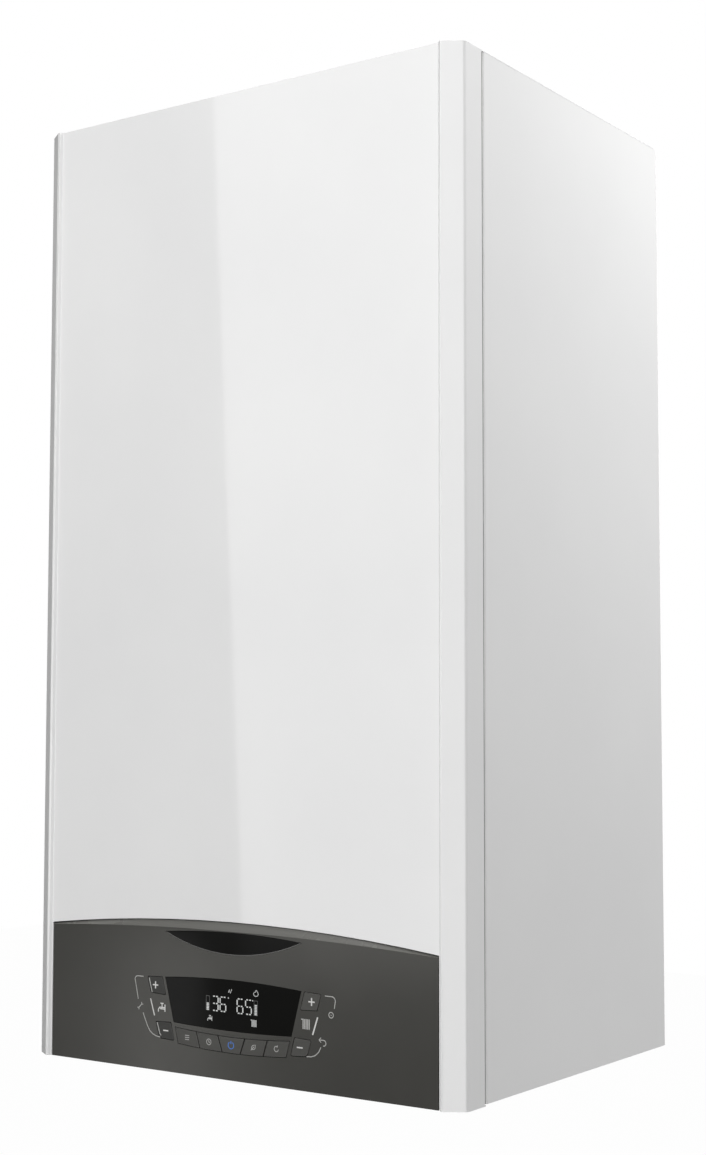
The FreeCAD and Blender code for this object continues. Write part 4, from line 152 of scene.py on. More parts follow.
WHITE_PAINT = Finish("white_enamel", (0.80, 0.80, 0.80), (0.83, 0.83, 0.828), (0.4, 0.46), Relief.PEEL,
                     420, 0.000004, coat=1.0, coat_rough=0.035, specular=0.2)
FASCIA_GREY = Finish("fascia_grey", (0.066, 0.065, 0.06), (0.074, 0.073, 0.067), (0.15, 0.19),
                     Relief.GRAIN, 2600, 0.000004, metal=0.2, specular=0.25, mask_share=0.25)
# Lighter grey for the fascia's up-facing band and edges under the arch: a painted highlight.
FASCIA_PAINTED_HIGHLIGHT = Finish("fascia_painted_highlight", (0.13, 0.129, 0.118), (0.145, 0.144, 0.132), (0.25, 0.3), Relief.GRAIN,
                    2600, 0.000006, mask_share=0.25)
# Darker copy of the key grey for the water keys on the left: painted shade.
KEY_PAINTED_SHADE = Finish("key_painted_shade", (0.036, 0.036, 0.034), (0.043, 0.043, 0.040), (0.36, 0.44), Relief.GRAIN,
                  2400, 0.000008, metal=0.4, mask_share=0.25)
KEY_GREY = Finish("key_grey", (0.072, 0.071, 0.066), (0.082, 0.081, 0.075), (0.28, 0.34), Relief.GRAIN,
                  2400, 0.000006, metal=0.5, mask_share=0.25)
GLOSS_BLACK = Finish("gloss_black", (0.0065, 0.0065, 0.006), (0.009, 0.009, 0.0085), (0.05, 0.11),
                     Relief.PEEL, 150, 0.000001, specular=0.05)
# Grey for the gloss-black emblem's down-facing lower edge: a painted highlight.
EMBLEM_PAINTED_HIGHLIGHT = Finish("emblem_painted_highlight", (0.2, 0.2, 0.195), (0.24, 0.24, 0.235), (0.25, 0.35), Relief.PEEL,
                     300, 0.000002)
# Grey for the white side and top panels' front rims: painted shade in the seam round the cover.
SEAM_PAINTED_SHADE = Finish("seam_painted_shade", (0.27, 0.27, 0.265), (0.31, 0.31, 0.305), (0.5, 0.6), Relief.GRAIN, 1200,
                   0.00001)
ZINC_SHEET = Finish("zinc_sheet", (0.46, 0.48, 0.50), (0.62, 0.64, 0.66), (0.28, 0.45), Relief.SPANGLE,
                    95, 0.000008, metal=1.0, mask_share=0.7)
BOX_GREY = Finish("box_grey", (0.21, 0.215, 0.22), (0.25, 0.255, 0.26), (0.45, 0.55), Relief.GRAIN, 1500,
                  0.00002, mask_share=0.3)
BOARD_GREEN = Finish("board_green", (0.012, 0.085, 0.032), (0.03, 0.17, 0.07), (0.3, 0.42), Relief.TRACKS,
                     190, 0.00003, mask_share=0.9)
COMPONENT_BLACK = Finish("component_black", (0.012, 0.012, 0.013), (0.025, 0.025, 0.027), (0.4, 0.55),
                         Relief.GRAIN, 1800, 0.00002, mask_share=0.3)
STAINLESS = Finish("stainless", (0.52, 0.51, 0.49), (0.66, 0.65, 0.63), (0.2, 0.36), Relief.BRUSHED, 900,
                   0.000006, metal=1.0, mask_share=0.6)
CAST_ALUMINIUM = Finish("cast_aluminium", (0.50, 0.51, 0.52), (0.63, 0.64, 0.65), (0.36, 0.54),
                        Relief.CAST, 700, 0.00005, metal=1.0, mask_share=0.4)
MOTOR_BLACK = Finish("motor_black", (0.014, 0.014, 0.016), (0.028, 0.028, 0.031), (0.32, 0.46),
                     Relief.PEEL, 600, 0.00002, coat=0.25)
BLACK_PLASTIC = Finish("black_plastic", (0.016, 0.016, 0.017), (0.03, 0.03, 0.032), (0.42, 0.56),
                       Relief.GRAIN, 1300, 0.00003, mask_share=0.35)
FLUE_GREY = Finish("flue_grey", (0.55, 0.555, 0.55), (0.64, 0.645, 0.64), (0.38, 0.5), Relief.GRAIN, 800,
                   0.00002, mask_share=0.25)
COPPER = Finish("copper_tube", (0.52, 0.23, 0.13), (0.80, 0.42, 0.28), (0.2, 0.4), Relief.BRUSHED, 500,
                0.000008, metal=1.0, drift=28.0, mask_share=0.3)
BRASS = Finish("brass", (0.62, 0.43, 0.17), (0.80, 0.61, 0.29), (0.22, 0.38), Relief.BRUSHED, 800,
               0.000006, metal=1.0, mask_share=0.4)
VESSEL_RED = Finish("vessel_red", (0.36, 0.022, 0.018), (0.46, 0.034, 0.026), (0.3, 0.42), Relief.PEEL,
                    380, 0.00002, coat=0.4, coat_rough=0.2)
COMPOSITE = Finish("composite", (0.045, 0.047, 0.05), (0.085, 0.088, 0.094), (0.46, 0.6), Relief.CAST,
                   1100, 0.00003, mask_share=0.5)
RUBBER = Finish("rubber", (0.011, 0.011, 0.011), (0.02, 0.02, 0.02), (0.55, 0.72), Relief.GRAIN, 1500,
                0.00003, mask_share=0.3)
PORCELAIN = Finish("porcelain", (0.76, 0.74, 0.68), (0.84, 0.83, 0.78), (0.15, 0.28), Relief.PEEL, 300,
                   0.00001, coat=0.5)
RED_PLASTIC = Finish("red_plastic", (0.42, 0.02, 0.018), (0.5, 0.03, 0.025), (0.35, 0.45), Relief.GRAIN,
                     1500, 0.00002)
BLUE_PLASTIC = Finish("blue_plastic", (0.012, 0.07, 0.3), (0.018, 0.09, 0.37), (0.35, 0.45), Relief.GRAIN,
                      1500, 0.00002)
SCREW_STEEL = Finish("screw_steel", (0.50, 0.50, 0.51), (0.62, 0.62, 0.63), (0.25, 0.4), Relief.BRUSHED,
                     1500, 0.000006, metal=1.0, mask_share=0.4)
PRINT_WHITE = Finish("print_white", (0.60, 0.60, 0.585), (0.68, 0.68, 0.665), (0.45, 0.55), Relief.GRAIN,
                     3000, 0.000006)
PRINT_PALE = Finish("print_pale", (0.38, 0.38, 0.365), (0.45, 0.45, 0.435), (0.45, 0.55), Relief.GRAIN,
                    3000, 0.000006)
# Blue print of the power sign, with a glow although it is no lamp: painted light.
PRINT_BLUE_PAINTED_GLOW = Finish("print_blue_painted_glow", (0.035, 0.16, 0.56), (0.05, 0.2, 0.64), (0.4, 0.5), Relief.GRAIN, 3000,
                    0.000006, glow=0.12)
DISPLAY_LIGHT = Finish("display_light", (0.46, 0.47, 0.46), (0.56, 0.57, 0.56), (0.4, 0.5), Relief.GRAIN,
                       3000, 0.000004, glow=0.22)
DISPLAY_DIM = Finish("display_dim", (0.075, 0.076, 0.075), (0.1, 0.101, 0.1), (0.4, 0.5), Relief.GRAIN,
                     3000, 0.000004, glow=0.03)

FINISH_OF_SLOT = {
    "white_paint": WHITE_PAINT, "galvanised": ZINC_SHEET, "fascia_plastic": FASCIA_GREY,
    "gloss_black": GLOSS_BLACK, "box_plastic": BOX_GREY, "circuit_board": BOARD_GREEN,
    "stainless": STAINLESS, "cast_aluminium": CAST_ALUMINIUM, "motor_black": MOTOR_BLACK,
    "black_plastic": BLACK_PLASTIC, "flue_plastic": FLUE_GREY, "copper": COPPER, "brass": BRASS,
    "vessel_red": VESSEL_RED, "composite": COMPOSITE, "rubber": RUBBER, "porcelain": PORCELAIN,
    "red_plastic": RED_PLASTIC, "blue_plastic": BLUE_PLASTIC,
}


class NodeSheet:
    """Short calls for building a node tree."""

    def __init__(self, tree: bpy.types.NodeTree) -> None:
        """Keeps the tree that the calls add to."""
        self.tree = tree

    def add(self, kind: str, inputs: dict | None = None, **settings: object) -> bpy.types.Node:
        """Adds a node.

        Args:
            kind: Blender's name of the node type.
            inputs: Values or output sockets by input name.
            settings: Attributes of the node.

        Returns:
            The new node.
        """
        node = self.tree.nodes.new(kind)
        for name, value in settings.items():
            setattr(node, name, value)
        self.feed(node, inputs or {})
        return node

    def feed(self, node: bpy.types.Node, inputs: dict) -> None:
        """Sets or links a node's inputs.

        Args:
            node: The node.
            inputs: Values or output sockets by input name.
        """
        for name, value in inputs.items():
            if isinstance(value, bpy.types.NodeSocket):
                self.tree.links.new(value, node.inputs[name])
            else:
                node.inputs[name].default_value = value

    def math(self, operation: str, first: object, second: object) -> bpy.types.NodeSocket:
        """Adds a math node of two values or sockets and returns its result."""
        return self.add("ShaderNodeMath", {0: first, 1: second}, operation=operation).outputs[0]


class Paintbox:
    """Makes each finish's material once, from node groups that the finishes share."""

    def __init__(self) -> None:
        """Builds the shared groups."""
        self.materials: dict[str, bpy.types.Material] = {}
        self.reliefs = {kind: self._relief(kind) for kind in Relief}
        self.tones = self._tones()

    @staticmethod
    def _group(name: str, inputs: dict[str, str],
               outputs: dict[str, str]) -> tuple[NodeSheet, dict, bpy.types.Node]:
        """Starts a node group.

        Args:
            name: Name of the group.
            inputs: Socket types by name.
            outputs: Socket types by name.

        Returns:
            The sheet, the sockets to read from and the node to feed.
        """
        tree = bpy.data.node_groups.new(name, "ShaderNodeTree")
        for title, kind in inputs.items():
            tree.interface.new_socket(title, in_out="INPUT", socket_type=kind)
        for title, kind in outputs.items():
            tree.interface.new_socket(title, in_out="OUTPUT", socket_type=kind)
        sheet = NodeSheet(tree)
        return sheet, sheet.add("NodeGroupInput").outputs, sheet.add("NodeGroupOutput")

    def _relief(self, kind: Relief) -> bpy.types.NodeTree:
        """Group that gives a relief's height and a mask for the tone.

        Args:
            kind: The relief.

        Returns:
            The group's tree.
        """
        sheet, given, result = self._group("relief_" + kind.name.lower(),
                                           {"Vector": "NodeSocketVector", "Scale": "NodeSocketFloat"},
                                           {"Height": "NodeSocketFloat", "Mask": "NodeSocketFloat"})
        place = given["Vector"]
        if kind is Relief.BRUSHED:
            place = sheet.add("ShaderNodeMapping", {"Vector": place, "Scale": (1.0, 0.04, 1.0)}).outputs[0]
        noise = sheet.add("ShaderNodeTexNoise", {"Vector": place, "Scale": given["Scale"],
                                                 "Detail": 1.0 if kind is Relief.PEEL else 4.0})
        height = mask = noise.outputs["Fac"]
        if kind in (Relief.CAST, Relief.SPANGLE):
            cells = sheet.add("ShaderNodeTexVoronoi", {"Vector": place, "Scale": given["Scale"]})
            if kind is Relief.SPANGLE:
                mask = sheet.add("ShaderNodeSeparateColor", {"Color": cells.outputs["Color"]}).outputs[0]
                height = sheet.math("MULTIPLY", mask, 0.5)
            else:
                bumps = sheet.math("MULTIPLY", cells.outputs[0], 0.5)
                height = sheet.math("ADD", noise.outputs["Fac"], bumps)
        if kind is Relief.TRACKS:
            bricks = sheet.add("ShaderNodeTexBrick", {
                "Vector": place, "Scale": given["Scale"], "Mortar Size": 0.09, "Brick Width": 1.7,
                "Row Height": 0.45, "Color1": (0, 0, 0, 1), "Color2": (0.12, 0.12, 0.12, 1),
                "Mortar": (1, 1, 1, 1)})
            mask = sheet.add("ShaderNodeSeparateColor", {"Color": bricks.outputs["Color"]}).outputs[0]
            height = mask
        sheet.feed(result, {"Height": height, "Mask": mask})
        return sheet.tree

    def _tones(self) -> bpy.types.NodeTree:
        """Group that gives the drifting tone and the drifting roughness.

        Returns:
            The group's tree.
        """
        sheet, given, result = self._group(
            "tone_drift",
            {"Vector": "NodeSocketVector", "Scale": "NodeSocketFloat", "Mask": "NodeSocketFloat",
             "Mask Share": "NodeSocketFloat", "Dark": "NodeSocketColor", "Light": "NodeSocketColor",
             "Smooth": "NodeSocketFloat", "Rough": "NodeSocketFloat"},
            {"Tone": "NodeSocketColor", "Roughness": "NodeSocketFloat"})
        band = {"From Min": 0.3, "From Max": 0.7}
        slow = sheet.add("ShaderNodeTexNoise", {"Vector": given["Vector"], "Scale": given["Scale"],
                                                "Detail": 3.0})
        drift = sheet.add("ShaderNodeMapRange", {"Value": slow.outputs["Fac"], **band})
        kept = sheet.math("SUBTRACT", 1.0, given["Mask Share"])
        share = sheet.math("ADD", sheet.math("MULTIPLY", drift.outputs[0], kept),
                           sheet.math("MULTIPLY", given["Mask"], given["Mask Share"]))
        tone = sheet.add("ShaderNodeMix", {"Factor": share, 6: given["Dark"], 7: given["Light"]},
                         data_type="RGBA")
        hands = sheet.add("ShaderNodeTexNoise", {"Vector": given["Vector"], "Detail": 5.0,
                                                 "Scale": sheet.math("MULTIPLY", given["Scale"], 3.0)})
        gloss = sheet.add("ShaderNodeMapRange", {"Value": hands.outputs["Fac"], **band,
                                                 "To Min": given["Smooth"], "To Max": given["Rough"]})
        sheet.feed(result, {"Tone": tone.outputs[2], "Roughness": gloss.outputs[0]})
        return sheet.tree

    def material(self, finish: Finish) -> bpy.types.Material:
        """Material of a finish, made on first use.

        Args:
            finish: The finish.

        Returns:
            The material.
        """
        if finish.name in self.materials:
            return self.materials[finish.name]
        material = bpy.data.materials.new(finish.name)
        material.use_nodes = True
        sheet = NodeSheet(material.node_tree)
        shader = material.node_tree.nodes["Principled BSDF"]
        place = sheet.add("ShaderNodeTexCoord").outputs["Object"]
        relief = sheet.add("ShaderNodeGroup", {"Vector": place, "Scale": finish.fineness},
                           node_tree=self.reliefs[finish.relief])
        tones = sheet.add("ShaderNodeGroup", {
            "Vector": place, "Scale": finish.drift, "Mask": relief.outputs["Mask"],
            "Mask Share": finish.mask_share, "Dark": (*finish.dark, 1), "Light": (*finish.light, 1),
            "Smooth": finish.rough[0], "Rough": finish.rough[1]}, node_tree=self.tones)
        bump = sheet.add("ShaderNodeBump", {"Height": relief.outputs["Height"], "Distance": finish.height})
        tone = tones.outputs["Tone"]
        sheet.feed(shader, {
            "Base Color": tone, "Roughness": tones.outputs["Roughness"], "Normal": bump.outputs[0],
            "Metallic": finish.metal, "Specular IOR Level": finish.specular,
            "Coat Weight": finish.coat, "Coat Roughness": finish.coat_rough})
        if finish.glow:
            sheet.feed(shader, {"Emission Color": tone, "Emission Strength": finish.glow})
        self.materials[finish.name] = material
        return material


PAINTBOX = Paintbox()


class Workpiece:
    """One mesh piece, shaped with Blender's own operators."""

    def __init__(self, obj: bpy.types.Object, name: str) -> None:
        """Names the object and takes it as the piece."""
        self.obj = obj
        obj.name = name
        obj.data.name = name

    @staticmethod
    def clear() -> None:
        """Deselects everything in object mode."""
        for obj in bpy.context.view_layer.objects:
            obj.select_set(False)

    @classmethod
    def block(cls, name: str, low: Sequence[float], high: Sequence[float]) -> "Workpiece":
        """Starts from a box.

        Args:
            name: Name of the piece.
            low: Lowest corner in metres.
            high: Highest corner in metres.

        Returns:
            The piece.
        """
        cls.clear()
        low, high = Vector(low), Vector(high)
        bpy.ops.mesh.primitive_cube_add(size=1, location=(low + high) / 2)
        piece = cls(bpy.context.object, name)
        piece.obj.scale = high - low
        return piece.settle()

    @classmethod
    def drum(cls, name: str, radius: float, height: float, sides: int) -> "Workpiece":
        """Starts from a round bar that stands on the origin, pointing up.

        Args:
            name: Name of the piece.
            radius: Radius in metres.
            height: Height in metres.
            sides: Number of sides.

        Returns:
            The piece.
        """
        cls.clear()
        bpy.ops.mesh.primitive_cylinder_add(vertices=sides, radius=radius, depth=height,
                                            location=(0, 0, height / 2))
        return cls(bpy.context.object, name).settle()

    @classmethod
    def lathe(cls, name: str, profile: Sequence[Spot], sides: int) -> "Workpiece":
        """Starts from a ring that is drawn through a closed profile round an upright axis.

        Args:
            name: Name of the piece.
            profile: Radius and height of each step in millimetres, the last one the same as the first.
            sides: Number of sides.

        Returns:
            The piece.
        """
        cls.clear()
        (radius, height), *steps = [(step[0] * MM, step[1] * MM) for step in profile]
        bpy.ops.mesh.primitive_circle_add(vertices=sides, radius=radius, location=(0, 0, height))
        piece = cls(bpy.context.object, name).settle()
        piece.pick_points(lambda place: True)
        moves = []
        for next_radius, next_height in steps:
            rise = (0, 0, next_height - height)
            moves.append(partial(bpy.ops.mesh.extrude_region_move, TRANSFORM_OT_translate={"value": rise}))
            share = next_radius / radius
            factors = (share, share, 1)
            moves.append(partial(bpy.ops.transform.resize, value=factors, center_override=(0, 0, 0)))
            radius, height = next_radius, next_height
        piece.edit(*moves)
        piece.pick_points(lambda place: True)
        return piece.edit(lambda: bpy.ops.mesh.remove_doubles(threshold=RING_WELD),
                          lambda: bpy.ops.mesh.normals_make_consistent(inside=False))

    @classmethod
    def copy_of(cls, node: str) -> "Workpiece":
        """Starts from a CAD node's mesh, merged into one skin of flat faces.

        Args:
            node: Name of the CAD node.

        Returns:
            The piece.
        """
        obj = bpy.data.objects.new(node, frame["nodes"][node].data.copy())
        bpy.context.scene.collection.objects.link(obj)
        piece = cls(obj, node + "_skin")
        obj.data.materials.clear()
        piece.pick(lambda place, normal: True)
        piece.edit(lambda: bpy.ops.mesh.remove_doubles(threshold=WELD))
        piece.pick(lambda place, normal: True)
        return piece.edit(lambda: bpy.ops.mesh.dissolve_limited(angle_limit=FLAT_TURN))

    def copy(self, name: str) -> "Workpiece":
        """Second piece of the same shape with a mesh of its own.

        Args:
            name: Name of the new piece.

        Returns:
            The new piece.
        """
        obj = bpy.data.objects.new(name, self.obj.data.copy())
        bpy.context.scene.collection.objects.link(obj)
        return Workpiece(obj, name)

    def active(self) -> None:
        """Selects this piece alone."""
        self.clear()
        self.obj.select_set(True)
        bpy.context.view_layer.objects.active = self.obj

    def settle(self) -> "Workpiece":
        """Puts place, turn and scale into the mesh and returns the piece."""
        self.active()
        bpy.ops.object.transform_apply(location=True, rotation=True, scale=True)
        return self

    def unpick(self, mode: tuple[bool, bool, bool]) -> bpy.types.Mesh:
        """Deselects the whole mesh.

        Args:
            mode: Whether points, edges and faces are to be selected next.

        Returns:
            The mesh.
        """
        mesh = self.obj.data
        for items in (mesh.vertices, mesh.edges, mesh.polygons):
            items.foreach_set("select", [False] * len(items))
        bpy.context.scene.tool_settings.mesh_select_mode = mode
        return mesh

    def pick(self, test: Test) -> "Workpiece":
        """Selects the faces whose middle and normal pass a test and returns the piece."""
        for face in self.unpick((False, False, True)).polygons:
            face.select = test(face.center, face.normal)
        return self

    def pick_points(self, test: Callable[[Vector], bool]) -> "Workpiece":
        """Selects the vertices whose place passes a test and returns the piece."""
        for vertex in self.unpick((True, False, False)).vertices:
            vertex.select = test(vertex.co)
        return self

    def edit(self, *steps: Callable[[], object]) -> "Workpiece":
        """Runs operators on the selection in edit mode.

        Args:
            steps: Calls to make, in order.

        Returns:
            The piece.
        """
        self.active()
        bpy.ops.object.mode_set(mode="EDIT")
        for step in steps:
            step()
        bpy.ops.object.mode_set(mode="OBJECT")
        return self

    def inset(self, width: float, depth: float = 0.0) -> "Workpiece":
        """Insets the selected faces and sinks or raises them."""
        return self.edit(lambda: bpy.ops.mesh.inset(thickness=width, depth=depth))

    def extrude(self, offset: Sequence[float]) -> "Workpiece":
        """Extrudes the selected faces by an offset."""
        return self.edit(lambda: bpy.ops.mesh.extrude_region_move(TRANSFORM_OT_translate={"value": offset}))

    def resize(self, factors: Sequence[float], centre: Sequence[float]) -> "Workpiece":
        """Scales the selection about a centre."""
        return self.edit(lambda: bpy.ops.transform.resize(value=factors, center_override=centre))

    def modify(self, kind: str, **settings: object) -> "Workpiece":
        """Adds a modifier and applies it.

        Args:
            kind: Blender's name of the modifier type.
            settings: Attributes of the modifier.

        Returns:
            The piece.
        """
        self.active()
        modifier = self.obj.modifiers.new(kind.title(), kind)
        for name, value in settings.items():
            setattr(modifier, name, value)
        bpy.ops.object.modifier_apply(modifier=modifier.name)
        return self

    def soften(self, width: float, segments: int = 2) -> "Workpiece":
        """Rounds the sharp edges over a width in metres, in a number of steps across."""
        return self.modify("BEVEL", width=width, segments=segments, limit_method="ANGLE",
                           angle_limit=EDGE_TURN)

    def smooth(self, angle: float = 40.0) -> "Workpiece":
        """Smooths the shading across small turns and keeps flat faces flat."""
        self.active()
        bpy.ops.object.shade_smooth_by_angle(angle=math.radians(angle))
        return self.modify("WEIGHTED_NORMAL", keep_sharp=True)

    def place(self, matrix: Matrix) -> "Workpiece":
        """Moves the mesh by a matrix and returns the piece."""
        self.obj.data.transform(matrix)
        self.obj.data.update()
        return self

    def take(self, others: Sequence["Workpiece"]) -> "Workpiece":
        """Joins other pieces to this one.

        Args:
            others: Pieces to join.

        Returns:
            The piece.
        """
        self.active()
        for other in others:
            other.obj.select_set(True)
        bpy.ops.object.join()
        return self

    def dress(self, test: Test, finish: Finish) -> "Workpiece":
        """Gives the faces that pass a test another finish.

        Args:
            test: Called with a face's middle and normal.
            finish: Their finish.

        Returns:
            The piece.
        """
        self.obj.data.materials.append(PAINTBOX.material(finish))
        index = len(self.obj.data.materials) - 1
        for face in self.obj.data.polygons:
            if test(face.center, face.normal):
                face.material_index = index
        return self

    def finish(self, body: str, finish: Finish, slot: str, *nodes: str) -> "Workpiece":
        """Paints the piece, fixes it to a body and reports it.

        Args:
            body: CAD body that carries the piece.
            finish: Its finish.
            slot: The record's material slot; not used.
            nodes: CAD nodes that it stands for.

        Returns:
            The piece.
        """
        if not self.obj.data.materials:
            self.obj.data.materials.append(PAINTBOX.material(finish))
        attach(self.obj, body)
        if nodes:
            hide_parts(*nodes)
        LOG.info("%s: %d faces on %s", self.obj.name, len(self.obj.data.polygons), body)
        return self


def turned_to(axis: Axis, place: Sequence[float]) -> Matrix:
    """Matrix that turns a piece standing upright at the origin to face an axis at a place."""
    return Matrix.Translation(place) @ axis.value.to_track_quat("Z", "Y").to_matrix().to_4x4()


def spot(x: float, z: float) -> Spot:
    """X and Z in metres of a place given in millimetres from the middle and above the casing's foot."""
    return x * MM, FOOT + z * MM


def bow(x: float, z: float, radius: float, start: float, end: float, steps: int) -> list[Spot]:
    """Points along an arc about x and z, in straight steps, by angles in degrees from the right upwards."""
    angles = [math.radians(start + (end - start) * step / steps) for step in range(steps + 1)]
    return [(x + radius * math.cos(angle), z + radius * math.sin(angle)) for angle in angles]


class Pictogram(Enum):
    """Strokes of the plain signs, in a square that reaches 1 to each side of its middle."""
    PLUS = [[(-1, 0), (1, 0)], [(0, -1), (0, 1)]]
    MINUS = [[(-1, 0), (1, 0)]]
    TAP = [[(-0.9, -1), (-0.9, -0.5), (-0.55, -0.05), (0.8, -0.05)], [(-0.45, -0.35), (0.8, -0.35)],
           [(0.9, 0.6), (0.9, -0.9)], [(0.1, 0), (0.1, 0.75)], [(-0.35, 0.8), (0.5, 0.8)]]
    RADIATOR = [[(-0.55 + 0.37 * bar, -1), (-0.55 + 0.37 * bar, 0.95)] for bar in range(5)] + [
        [(-1, 0.85), (-0.6, 0.85)]]
    FLAME = [[(0.1, 1), (0.7, 0.45), (1, -0.25), (0.65, -0.8), (0, -1), (-0.65, -0.8), (-1, -0.25),
              (-0.55, 0.35), (-0.25, 0.25), (0.1, 1)]]
    PULSE = [[(-0.9, -0.6), (-0.45, 0.6), (-0.2, -0.5)], [(0.1, -0.8), (0.8, 0.8)]]
    WRENCH = [[(-0.6, -0.6), (0.6, 0.6)], [(0.5, 1.1), (0.55, 0.55), (1.1, 0.5)],
              [(-0.5, -1.1), (-0.55, -0.55), (-1.1, -0.5)]]
    SELECT = [bow(0, 0, 1, 0, 360, 16), [(-0.2, 0), (0.2, 0)]]
    BACK = [[(-0.45, 1), (-1, 0.45), (-0.45, -0.1)],
            [(-1, 0.45), (0.3, 0.45)] + bow(0.3, -0.2, 0.65, 80, -100, 8)]
    MENU = [[(-1, 0.75), (1, 0.75)], [(-1, 0), (1, 0)], [(-1, -0.75), (1, -0.75)]]
    CLOCK = [bow(0, 0, 1, 0, 360, 18), [(0, 0.6), (0, 0), (0.45, -0.25)]]
    POWER = [bow(0, 0, 0.95, 125, 415, 18), [(0, 0.35), (0, 1.15)]]
    LEAF = [[(-0.75, -0.65), (-0.8, 0.1), (-0.25, 0.75), (0.95, 0.95), (0.8, -0.1), (0.25, -0.65),
             (-0.75, -0.65)], [(-1.1, -1), (0.35, 0.35)]]
    RESET = [bow(0, 0, 0.9, 50, 350, 18), [(-0.02, 0.74), (0.58, 0.69), (0.42, 1.27)]]


class Marking:
    """Printed sign made of flat strokes on an upright face."""

    def __init__(self, name: str, face: float, width: float) -> None:
        """Starts an empty sign.

        Args:
            name: Name of the piece.
            face: Y of the face in metres.
            width: Width of a stroke in metres.
        """
        self.face = face
        self.width = width
        curve = bpy.data.curves.new(name, "CURVE")
        curve.dimensions = "3D"
        curve.bevel_depth = width / 2
        curve.bevel_resolution = 1
        curve.use_fill_caps = True
        self.obj = bpy.data.objects.new(name, curve)
        bpy.context.scene.collection.objects.link(self.obj)

    def stroke(self, points: Sequence[Spot], weight: float = 1.0) -> "Marking":
        """Adds a stroke.

        Args:
            points: X and Z of each point in metres.
            weight: Width of this stroke against the sign's own.

        Returns:
            The sign.
        """
        spline = self.obj.data.splines.new("POLY")
        spline.points.add(len(points) - 1)
        for knot, (x, z) in zip(spline.points, points):
            knot.co = (x, self.face, z, 1)
            knot.radius = weight
        return self

    def line(self, points: Sequence[Spot], weight: float = 1.0) -> "Marking":
        """Adds a stroke through points given in millimetres from the middle and above the casing's foot."""
        return self.stroke([spot(x, z) for x, z in points], weight)

    def figure(self, sign: Pictogram, centre: Spot, half: float, weight: float = 1.0) -> "Marking":
        """Adds a pictogram.

        Args:
            sign: The pictogram.
            centre: X and Z of its middle in metres.
            half: Half of its height in metres.
            weight: Width of its strokes against the sign's own.

        Returns:
            The sign.
        """
        for points in sign.value:
            self.stroke([(centre[0] + half * x, centre[1] + half * z) for x, z in points], weight)
        return self

    def piece(self, body: str, finish: Finish, slot: str, thickness: float = 0.1 * MM) -> Workpiece:
        """Turns the strokes into a flat mesh that lies on the face.

        Args:
            body: CAD body that carries the print.
            finish: Its finish.
            slot: The record's material slot.
            thickness: Height of the print, half of it above the face.

        Returns:
            The piece.
        """
        sign = Workpiece(self.obj, self.obj.name)
        sign.active()
        bpy.ops.object.convert(target="MESH")
        sign.pick(lambda place, normal: True)
        sign.resize((1, thickness / self.width, 1), (0, self.face, 0))
        return sign.smooth().finish(body, finish, slot)


@dataclass
class Fastener:
    """Head of a screw or nut, modelled once and copied to its places.

    Attributes:
        radius: Radius of the head in metres.
        height: Height of the head in metres.
        nut: True for a hexagon, False for a round head with a star recess.
    """
    radius: float = 3.2 * MM
    height: float = 2.0 * MM
    nut: bool = False

    def pattern(self, name: str) -> Workpiece:
        """Models one head, standing on the origin.

        Args:
            name: Name of the piece.

        Returns:
            The head.
        """
        if self.nut:
            head = Workpiece.drum(name, self.radius, self.height, 6)
            head.pick(lambda place, normal: normal.z < -0.9).inset(-0.15 * self.radius)
            head.pick(lambda place, normal: normal.z < -0.9).extrude((0, 0, -0.1 * self.height))
            head.pick(lambda place, normal: normal.z > 0.9).inset(0.42 * self.radius)
            inner = 0.6 * self.radius
            head.pick(lambda place, normal: normal.z > 0.9 and place.xy.length < inner / 2)
            head.extrude((0, 0, 0.25 * self.height))
            return head.soften(0.07 * self.radius).smooth()
        head = Workpiece.drum(name, self.radius, self.height, 24)
        head.soften(0.45 * self.height, 3)
        top = 0.98 * self.height
        head.pick(lambda place, normal: normal.z > 0.9 and place.z > top).inset(0.25 * self.radius)
        lobes = math.radians(30)
        head.pick_points(lambda place: place.z > top and place.xy.length < 0.55 * self.radius
                         and round(math.atan2(place.y, place.x) / lobes) % 2 == 0)
        head.resize((0.66, 0.66, 1), (0, 0, self.height))
        head.pick(lambda place, normal: place.z > top and place.xy.length < 0.1 * self.radius)
        head.extrude((0, 0, -0.55 * self.height))
        return head.smooth(30)

    def fix(self, name: str, axis: Axis, places: Sequence[Point], body: str = "chassis") -> Workpiece:
        """Copies the head to its places.

        Args:
            name: Name of the group of heads.
            axis: Direction that they face.
            places: Foot of each head in millimetres.
            body: CAD body that carries them.

        Returns:
            The heads as one piece.
        """
        first = self.pattern(name)
        heads = [first.copy(f"{name}_{number}") for number in range(1, len(places))]
        for head, place in zip([first] + heads, places):
            head.place(turned_to(axis, Vector(place) * MM))
        return first.take(heads).finish(body, SCREW_STEEL, "galvanised")


def spread(centre: Point, radius: float, axis: Axis, count: int, start: float) -> list[Point]:
    """Places round a circle.

    Args:
        centre: Middle of the circle in millimetres.
        radius: Its radius in millimetres.
        axis: Direction that the circle faces.
        count: Number of places.
        start: Angle of the first place in degrees.

    Returns:
        The places in millimetres.
    """
    turn = turned_to(axis, centre)
    angles = [math.radians(start + 360 * number / count) for number in range(count)]
    flat = [Vector((radius * math.cos(angle), radius * math.sin(angle), 0)) for angle in angles]
    return [tuple(turn @ place) for place in flat]


